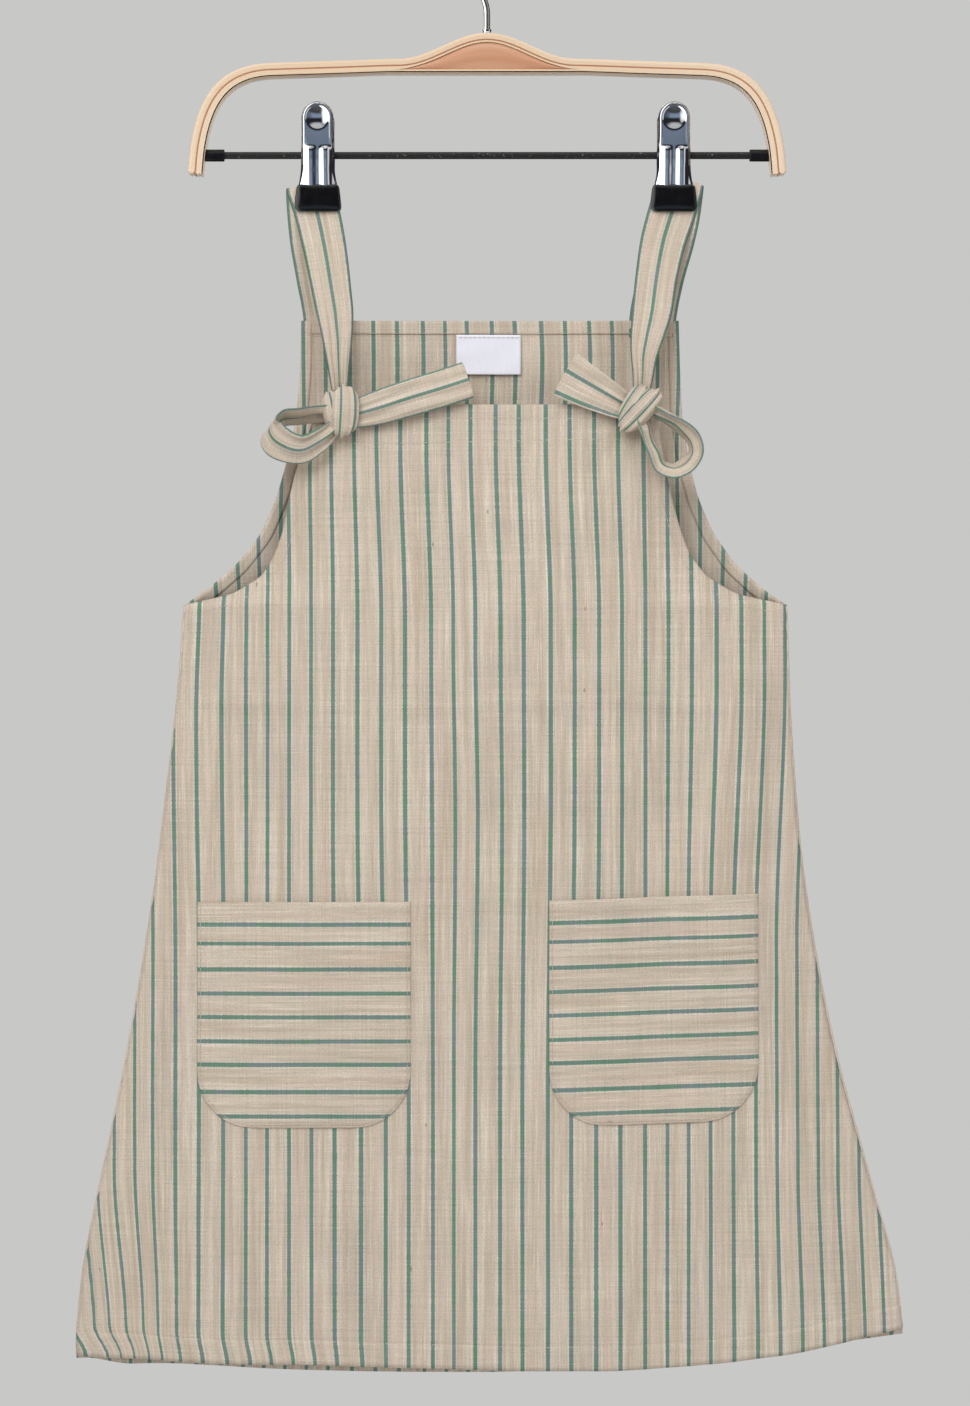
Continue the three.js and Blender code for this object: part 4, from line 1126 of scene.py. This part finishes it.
def make_pocket(side, tilt):
    """A patch pocket with round lower corners, its stripes level and a turned hem at its mouth."""
    node = f"pocket_{side}"
    (left, right), (bottom, top) = span(node, X), span(node, Z)
    corner = 31.0
    half, centre = (right - left) / 2, (right + left) / 2
    b = np.concatenate([np.linspace(0, 0.12, 14)[:-1], np.linspace(0.12, 1, 58)])[:, None]
    a = np.linspace(-1, 1, 60)
    z = mix(bottom, top, b)
    above = np.maximum(0, corner - (z - bottom))
    inset = corner - np.sqrt(np.maximum(0, corner ** 2 - above ** 2))
    x = centre + a * (half - inset)
    mouth = 1.6 * (1 - a ** 2) * smooth(top - 60, top, z)
    from_edge = np.minimum(half - inset - np.abs(x - centre), z - bottom)
    puff = 0.5 * smooth(0, 8, from_edge) + mouth
    seam = 0.25 * hill(from_edge, 1.8, 0.9) + 0.25 * hill(top - z, 11, 0.9)
    shown_z = z + tilt * (x - centre)
    points = stack(x, FRONT.surface(x, shown_z, CLOTH + 0.12 + puff - seam), shown_z)
    along = x + {"left": 400, "right": 490}[side]  # so that the two pockets' threads differ
    weave = stack(even_place(top - z, POCKET_FIRST, POCKET_GAPS), along)
    patch = add_cloth(f"patch_{side}", points, grid_faces(*x.shape), "garment", node, weave, CLOTH)

    stitch_in = 1.8
    turn = np.linspace(0, math.pi / 2, 12)
    x_side, z_low, r = half - stitch_in, bottom + stitch_in, corner - stitch_in
    rounded = stack(x_side - r + r * np.cos(turn), z_low + r - r * np.sin(turn))
    half_line = np.vstack([[(x_side, top - 1)], rounded])
    x, z = np.vstack([half_line * (-1, 1), half_line[::-1]]).T
    sew(f"patch_{side}_stitches", FRONT, stack(x + centre, z + tilt * x), CLOTH * 1.5 + 0.32)


def make_seams():
    """All the topstitching on the two panels, and their side seams."""
    x = np.linspace(FRONT.left(BIB_TOP - 8) + 9, FRONT.right(BIB_TOP - 8) - 9, 60)
    sew("bib_topstitch", FRONT, stack(x, BIB_TOP - NECK_TURN), 0.22)
    sew("bib_facing_stitch", FRONT, stack(x, BIB_TOP - 21.5 + 2.6 * smooth(-80, 90, x)), 0.36)
    x = np.linspace(BACK.left(BACK_TOP) + 3, BACK.right(BACK_TOP) - 3, 60)
    sew("neck_topstitch", BACK, stack(x, BACK_TOP - 7.0), -1.5)
    sew("neck_topstitch_outside", BACK, stack(x, BACK_TOP - 7.0), 0.22)
    for panel in (FRONT, BACK):
        x = np.linspace(panel.left(HEM + 20) + 2, panel.right(HEM + 30) - 2, 120)
        sew(f"{panel.word}_hem_stitch", panel, stack(x, panel.hem(x) + HEM_TURN), 0.2)
        for side in SIDES:
            line, normal = armhole_line(panel, side)
            sew(f"{panel.word}_armhole_stitch_{side}", panel, (line + normal * 5.6)[3:-2], 0.42)
    for side in SIDES:
        make_side_seam(side)


def make_side_seam(side):
    """The rolled seam where the two panels are sewn together."""
    edge, inward = FRONT.side(side)
    z = np.linspace(UNDERARM - 0.5, FRONT.hem(edge(HEM)) + 1.0, 190)[:, None]
    angles = turns(10)
    puck = 0.1 * np.sin(z / 1.7)
    x = edge(z) + 0.25 * inward + (0.75 + puck) * np.cos(angles)
    points, faces = loft(stack(x, (0.95 + puck) * np.sin(angles), z))
    add_cloth(f"side_seam_{side}", points, faces, "garment", None, stack(3.5 + np.cos(angles), z))


def make_label():
    """A blank woven label, folded double and sewn in by its top."""
    (left, right), (bottom, top) = span("size_label", X), span("size_label", Z)
    down = np.linspace(0, 1, 22)
    fold = np.linspace(0, math.pi, 7)[1:-1]
    layers = np.concatenate([down, 1 + 0.035 * np.sin(fold), down[::-1]])
    layer_side = np.concatenate([np.full(22, 1.0), np.cos(fold), np.full(22, -1.0)])[:, None]
    a = np.linspace(0, 1, 30)
    z = mix(top, bottom, layers)[:, None]
    x = mix(left, right, a)
    sag = smooth(top, bottom, z) * (0.6 * np.sin(math.pi * a) + 0.35 * np.sin(a * 7))
    points = stack(x, BACK.surface(x, z, -(CLOTH + 1.75)) - 0.3 * layer_side - sag, z)
    faces = grid_faces(*points.shape[:2])
    label = add_piece("label", points, faces, "label_tape", "label_flap", "size_label", stack(x, z))
    thicken(label, 0.22)
    sew("label_stitches", BACK, stack(np.linspace(left + 1, right - 1, 30), top - 1.6), -(CLOTH + 2.35), 2.0,
        "label_flap")


# ------------------------ straps and bows

STRAP_FLAT = 27.0


def ribbon(stations, thickness, pleat, pleats=3, cup=0.0, crumple=0.25, seed=1, shift=0.0, square=True):
    """Points, faces and Weave map of a flattened cloth tube through stations.

    A station is x, y, z, the width's direction and the width. Pleats gather the tube where it is narrower
    than it was cut. A square one is cut square across its run; the others, folded at a slant, keep the
    width's direction as given."""
    stations = np.asarray(stations, float)
    run = run_length(stations[:, :3])
    places = np.linspace(0, run[-1], max(8, int(run[-1] / (1.3 if square else 0.6))))
    rows = smooth_curve(run, stations)(places)
    centre, side, width = rows[:, :3], rows[:, 3:6], rows[:, 6:7]
    along = unit(np.gradient(centre, axis=0))
    if square:
        side = side - (side * along).sum(axis=1, keepdims=True) * along
    side = unit(side)
    normal = unit(np.cross(along, side))
    places = places[:, None]
    s = np.linspace(-1, 1, 23)
    rim = np.sqrt(1 - np.abs(s) ** 5)
    loop = np.concatenate([s, s[-2:0:-1]])
    face = np.concatenate([rim, -rim[-2:0:-1]])
    gather = np.clip(1 - width / STRAP_FLAT, 0, 1)
    wave = pleat * gather * 2 * np.cos(pleats * math.pi * loop + 0.6 * np.sin(places / 9))
    relief = crumple * ripple(loop * 13, places, 16, seed)
    lift = face * thickness / 2 + wave - cup * loop ** 2 + relief
    points = (centre[:, None, :] + side[:, None, :] * (loop * width / 2)[:, :, None]
              + normal[:, None, :] * lift[:, :, None])
    return *loft(points), stack(loop * STRAP_FLAT / 2 + shift, places + 70 * seed)


def add_ribbon(name, body, stands_for, made, length, held="gathered"):
    """A finished piece from a ribbon, subdivided when it is gathered. The length it was cut to is not used.
    """
    points, faces, uv = made
    piece = add_cloth(name, points, faces, body, stands_for, uv)
    if held == "gathered":
        subdivide(piece)
    return piece


# Each strap's route: x, y, z, width direction, width. It rises from the back, folds over inside the clip
# and comes down in front to the knot. The loops and tails start in the knots.
STRAPS = {
    "left": (
        (-88.2, 9.0, -232, 1, 0, 0, 25.5), (-88.6, 9.4, -222.6, 1, 0, 0, 26),
        (-92.5, 6.2, -200, 1, 0, 0, 26), (-95.8, 2.4, -178, 1, 0, 0, 26.5),
        (-96.9, 0.75, -165.5, 1, 0, 0, 26.5), (-97.6, 0.72, -152.4, 1, 0, 0.03, 26.5),
        (-97.5, 0, -150.7, 1, 0, 0.03, 26.5), (-97.2, -0.72, -152.4, 1, 0, 0.03, 26.4),
        (-93.8, -0.75, -164.2, 1, 0, 0.08, 25.4), (-89.9, -3.2, -181.8, 1, 0, 0.1, 24.2),
        (-85.6, -7.4, -207, 1, 0.05, 0.1, 21.8), (-83.3, -10.4, -222, 1, 0.1, 0.05, 20),
        (-82.2, -12.8, -234, 1, 0.15, 0, 17), (-81.4, -15.6, -250.6, 1, 0.1, 0, 12),
        (-80.8, -17.2, -264, 1, 0, 0, 8.5),
    ),
    "right": (
        (91.2, 9.0, -232, 1, 0, 0, 25.5), (91.8, 9.2, -222.6, 1, 0, 0, 26),
        (96.0, 6.0, -200, 1, 0, -0.1, 26), (101.6, 2.2, -178, 1, 0, -0.25, 26.5),
        (104.4, 0.8, -165.5, 1, 0, -0.32, 26.5), (107, 0.75, -147.8, 1, 0, -0.33, 26.2),
        (107.3, 0, -145.6, 1, 0, -0.33, 26), (106.6, -0.75, -148, 1, 0, -0.33, 26.2),
        (101.8, -0.75, -164.8, 1, 0, -0.27, 26.2), (97.6, -3.0, -178.5, 1, 0, -0.22, 25.2),
        (93.3, -6.8, -200, 1, 0, -0.14, 23.2), (90.2, -10.4, -222.5, 1, -0.1, -0.06, 21.6),
        (87.8, -12.6, -234, 1, -0.2, -0.1, 18.6), (86.0, -14.2, -244, 1, -0.2, -0.15, 15),
        (85.3, -16.0, -256, 1, -0.1, -0.2, 11.5), (84.4, -17.2, -267, 1, 0, -0.2, 9),
    ),
}
LOOPS = {
    "left": (
        (-81.5, -17, -275.5, 0, -0.7, 0.7, 11), (-92, -18, -276.6, 0, -0.9, 0.42, 18),
        (-103, -18.6, -277.6, 0.05, -0.93, 0.36, 21.5), (-112.6, -19.4, -279.6, 0.3, -0.85, 0.45, 22.5),
        (-118.4, -21.8, -284.6, 0.55, -0.62, 0.58, 22.5), (-116.2, -25, -290.6, 0.5, -0.5, 0.7, 21.5),
        (-110.4, -27, -294.4, 0.4, -0.45, 0.8, 20), (-100.6, -27.2, -296.4, 0.15, -0.4, 0.9, 17.5),
        (-91, -24.6, -291, 0.05, -0.3, 0.95, 14), (-84, -20, -284.6, 0, -0.2, 1, 11),
    ),
    "right": (
        (87.5, -18, -273, 0.3, -0.9, 0.25, 11), (96.8, -20, -278.1, 0.18, -0.93, 0.3, 15),
        (105, -21, -283.2, 0.24, -0.92, 0.32, 17), (112.6, -21.5, -290.5, 0.36, -0.92, 0.16, 17.5),
        (113.6, -22, -298.4, 0.44, -0.9, -0.08, 18), (109, -22, -304.6, 0.4, -0.83, -0.42, 18),
        (101.8, -21.5, -308, 0.1, -0.86, -0.5, 17), (95.6, -21, -305.4, -0.34, -0.86, -0.36, 16.5),
        (91.8, -20.6, -298.5, -0.46, -0.87, -0.16, 16.5), (88.4, -20.2, -289.6, -0.48, -0.87, -0.02, 16),
        (85.2, -19.2, -281.5, -0.42, -0.9, 0, 13), (83.2, -18, -274.5, -0.4, -0.9, 0, 10),
    ),
}
TAILS = {
    "left": (
        (-79, -17.4, -277.4, 0, 0, 1, 11), (-72.4, -17.6, -276.6, -0.05, -0.1, 1, 15.6),
        (-62, -18.6, -274, -0.25, -0.12, 1, 19), (-44, -19.0, -268.4, -0.3, -0.05, 1, 20.8),
        (-25, -18.2, -262.6, -0.32, 0.04, 1, 21.4), (-9.8, -17.6, -257.6, -0.37, 0.05, 1, 21.4),
    ),
    "right": (
        (81, -17.4, -274.4, 0.4, 0, 1, 11), (73.8, -17.6, -271.8, 0.45, 0, 1, 15.8),
        (65, -18.4, -267.2, 0.45, -0.1, 1, 20), (54, -18.8, -261.4, 0.42, -0.05, 1, 24),
        (42.1, -18.4, -254.7, 0.38, 0.03, 1, 27.4),
    ),
}
# centre, depth and height of the wrap, its lean from upright, its width and where its stripe lies
KNOTS = {
    "left": {"at": (-80.2, -18.6, -275.2), "reach": (6.2, 14.2), "lean": -0.06, "width": 16.5, "bulge": 1.6,
             "shift": 3.2},
    "right": {"at": (82.8, -18.8, -273.8), "reach": (6.2, 15.4), "lean": 0.66, "width": 13.6, "bulge": 0.8,
              "shift": -3.5},
}
TAIL_SHIFT = {"left": 0.0, "right": -2.2}
STRAP_LENGTH = {"left": 196, "right": 204}
LOOP_LENGTH = {"left": 82, "right": 84}
TAIL_LENGTH = {"left": 73, "right": 44}
KNOT_LENGTH, TIE_LENGTH = 72, 13


def make_strap(side, seed):
    made = ribbon(STRAPS[side], 1.15, 1.1, crumple=0.12, seed=seed, square=False)
    strap = add_ribbon(f"{side}_strap", None, f"{side}_shoulder_strap", made, STRAP_LENGTH[side], "hung")
    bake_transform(strap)


def make_knot(side):
    """A band wrapped round the crossing of the ties, drawn in where it turns behind, over a smaller turn."""
    knot = KNOTS[side]
    depth, tall = knot["reach"]
    lean = knot["lean"]
    up = np.array((math.sin(lean), 0, math.cos(lean)))
    across = np.array((math.cos(lean), 0, -math.sin(lean)))
    bands = []
    for shift, size, skew, seed in ((0.8, 1.0, 1.4, 5), (-3.4, 0.8, -1.2, 6)):
        stations = []
        for angle in np.linspace(0, TAU * 0.985, 22) + 0.6 * math.pi:
            c, s = math.cos(angle), math.sin(angle)
            face = max(0.0, -c)
            centre = (knot["at"] + across * (shift + skew * s + knot["bulge"] * face)
                      + up * tall * size * s * (0.92 + 0.08 * face) + np.array((0, depth * size * c, 0)))
            stations.append((*centre, *(across + 0.1 * c * up), knot["width"] * (0.5 + 0.5 * face ** 0.7)))
        bands.append(ribbon(stations, 2.1, 0.55, cup=2.6, crumple=0.3, seed=seed, shift=knot["shift"]))
    made = (*merge(band[:2] for band in bands), np.vstack([band[2] for band in bands]))
    add_ribbon(f"{side}_knot", "garment", f"{side}_bow_knot", made, KNOT_LENGTH)


def make_bow(side, seed):
    """The loop and the tail of a half bow."""
    loop = ribbon(LOOPS[side], 1.8, 1.3, pleats=2, cup=1.0, crumple=0.5, seed=seed)
    add_ribbon(f"{side}_loop", "garment", f"{side}_bow_loop", loop, LOOP_LENGTH[side])
    tail = ribbon(TAILS[side], 1.6, 1.1, cup=0.8, seed=seed + 4, shift=TAIL_SHIFT[side])
    add_ribbon(f"{side}_tail", f"{side}_tail", f"{side}_bow_tail", tail, TAIL_LENGTH[side])


def make_tie_foot(side, seed):
    """The short tie from the bib's corner up into the knot."""
    x, y, _ = middle(f"{side}_front_tie")
    knot_x, knot_y, _ = KNOTS[side]["at"]
    stations = ((x, y - 0.9, BIB_TOP - 7, 1, 0, 0, 19), (x, y - 1.2, BIB_TOP, 1, 0, 0, 18),
                (mix(x, knot_x, 0.5), y - 3.5, BIB_TOP + 2.6, 1, 0, 0, 14),
                (knot_x, knot_y + 2.5, BIB_TOP + 1.5, 1, 0, 0, 10))
    points, faces, uv = ribbon(stations, 1.3, 1.0, crumple=0.2, seed=seed)
    tie = add_cloth(f"{side}_tie_foot", points, faces, "garment", f"{side}_front_tie", uv)


# ------------------------ stage and light


def make_stage():
    paint = new_paint("pale_floor")
    soft = paint.noise(paint.object_map(), 3.0)
    paint.finish(base_color=paint.blend(soft, rgb(206, 205, 203), rgb(212, 211, 209)), roughness=0.8)
    mesh = bpy.data.meshes.new("floor")
    reach, level = 1.9, -1.25
    corners = [(x * reach, y * reach, level) for x, y in ((-1, -1), (1, -1), (1, 1), (-1, 1))]
    mesh.from_pydata(corners, [], [(0, 1, 2, 3)])
    mesh.materials.append(paint.owner)
    floor = add_to_scene("floor", mesh)
    floor.visible_glossy = False
    floor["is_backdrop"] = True


# name, place, size and power
LIGHTS = (
    ("key", (-0.5, -1.45, 0.45), (0.9, 0.9), 11.5), ("fill", (1.0, -2.0, -0.2), (1.2, 1.4), 5),
    ("top", (0, -1.3, 1.2), (1.8, 0.8), 8), ("behind", (0.3, 2.2, 0.6), (1.8, 1.6), 18),
)
# azimuth start, end and soft edge, then height start, end and soft edge, in degrees, then brightness
SOFT_BOXES = (
    ((-74, -27, 5), (-80, 62, 8), 1.9), ((44, 60, 4), (-70, 50, 8), 0.8), ((-68, -58, 3), (-62, 44, 8), 4.5),
    ((-24, 24, 8), (24, 44, 6), 0.6), ((-110, 110, 20), (52, 90, 7), 1.3),
    ((-180, -120, 10), (-20, 60, 10), 0.9), ((120, 180, 10), (-20, 60, 10), 0.9),
)


def make_lights():
    aim = np.array((0, 0, -0.42))
    for name, place, size, power in LIGHTS:
        light = bpy.data.lights.new(name, "AREA")
        light.shape = "RECTANGLE"
        light.size, light.size_y = size
        light.energy = power
        holder = add_to_scene(name, light, place)
        holder.rotation_euler = Vector(aim - place).to_track_quat("-Z", "Y").to_euler()
        holder.visible_glossy = False
    bpy.context.scene.view_settings.view_transform = "Standard"


def make_world():
    """Pale all round for the eye and for soft light, and a dark room with soft boxes for reflections."""
    world = bpy.data.worlds.new("studio")
    studio = Paint(world, "Background")
    split = studio.node("SeparateXYZ", {"Vector": studio.node("TexCoord").outputs["Generated"]})
    x, y, z = split.outputs
    azimuth = studio.math("ARCTAN2", x, studio.times(y, -1.0))
    height = studio.math("ARCSINE", z)

    def window(value, start, end, edge):
        """1 between start and end, in degrees, with soft edges."""
        low_side = studio.range(value, math.radians(start - edge), math.radians(start + edge))
        high_side = studio.range(value, math.radians(end + edge), math.radians(end - edge))
        return studio.times(low_side, high_side)

    tone = studio.blend(window(height, -90, -50, 20), (0.02, 0.022, 0.027, 1), (0.14, 0.14, 0.15, 1))
    ahead = studio.times(window(height, -36, -8, 6), window(azimuth, -30, 30, 10))
    tone = studio.blend(ahead, tone, (0.26, 0.32, 0.42, 1))
    for sides, levels, bright in SOFT_BOXES:
        box = studio.times(window(azimuth, *sides), window(height, *levels))
        tone = studio.blend(box, tone, (bright, bright, bright, 1))
    path = studio.node("LightPath")
    soft = studio.blend(studio.range(z, -0.5, 0.4), (0.20, 0.20, 0.19, 1), (0.64, 0.64, 0.65, 1))
    seen = studio.blend(path.outputs["Is Glossy Ray"], soft, tone)
    studio.finish(color=studio.blend(path.outputs["Is Camera Ray"], seen, rgb(200, 200, 199)))
    bpy.context.scene.world = world


# ------------------------ build


def finish_kept_nodes():
    """The washer is sealed inside the wood and keeps its CAD shape."""
    washer = frame["nodes"]["hook_washer"]
    washer.data.materials.clear()
    washer.data.materials.append(LOOKS["plated_steel"])


make_hook()
make_wood_frame()
make_bar()
make_clips()
make_dress()
make_pocket("left", 0.004)
make_pocket("right", 0.03)
make_seams()
make_label()
for number, strap_side in enumerate(SIDES):
    make_strap(strap_side, 2 + number)
    make_knot(strap_side)
    make_bow(strap_side, 7 + number)
    make_tie_foot(strap_side, 15 + number)
finish_kept_nodes()
make_stage()
make_lights()
make_world()

VISUAL_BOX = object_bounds()
sizes = {name: [list(corner) for corner in box] for name, box in (("cad", CAD_BOX), ("visual", VISUAL_BOX))}
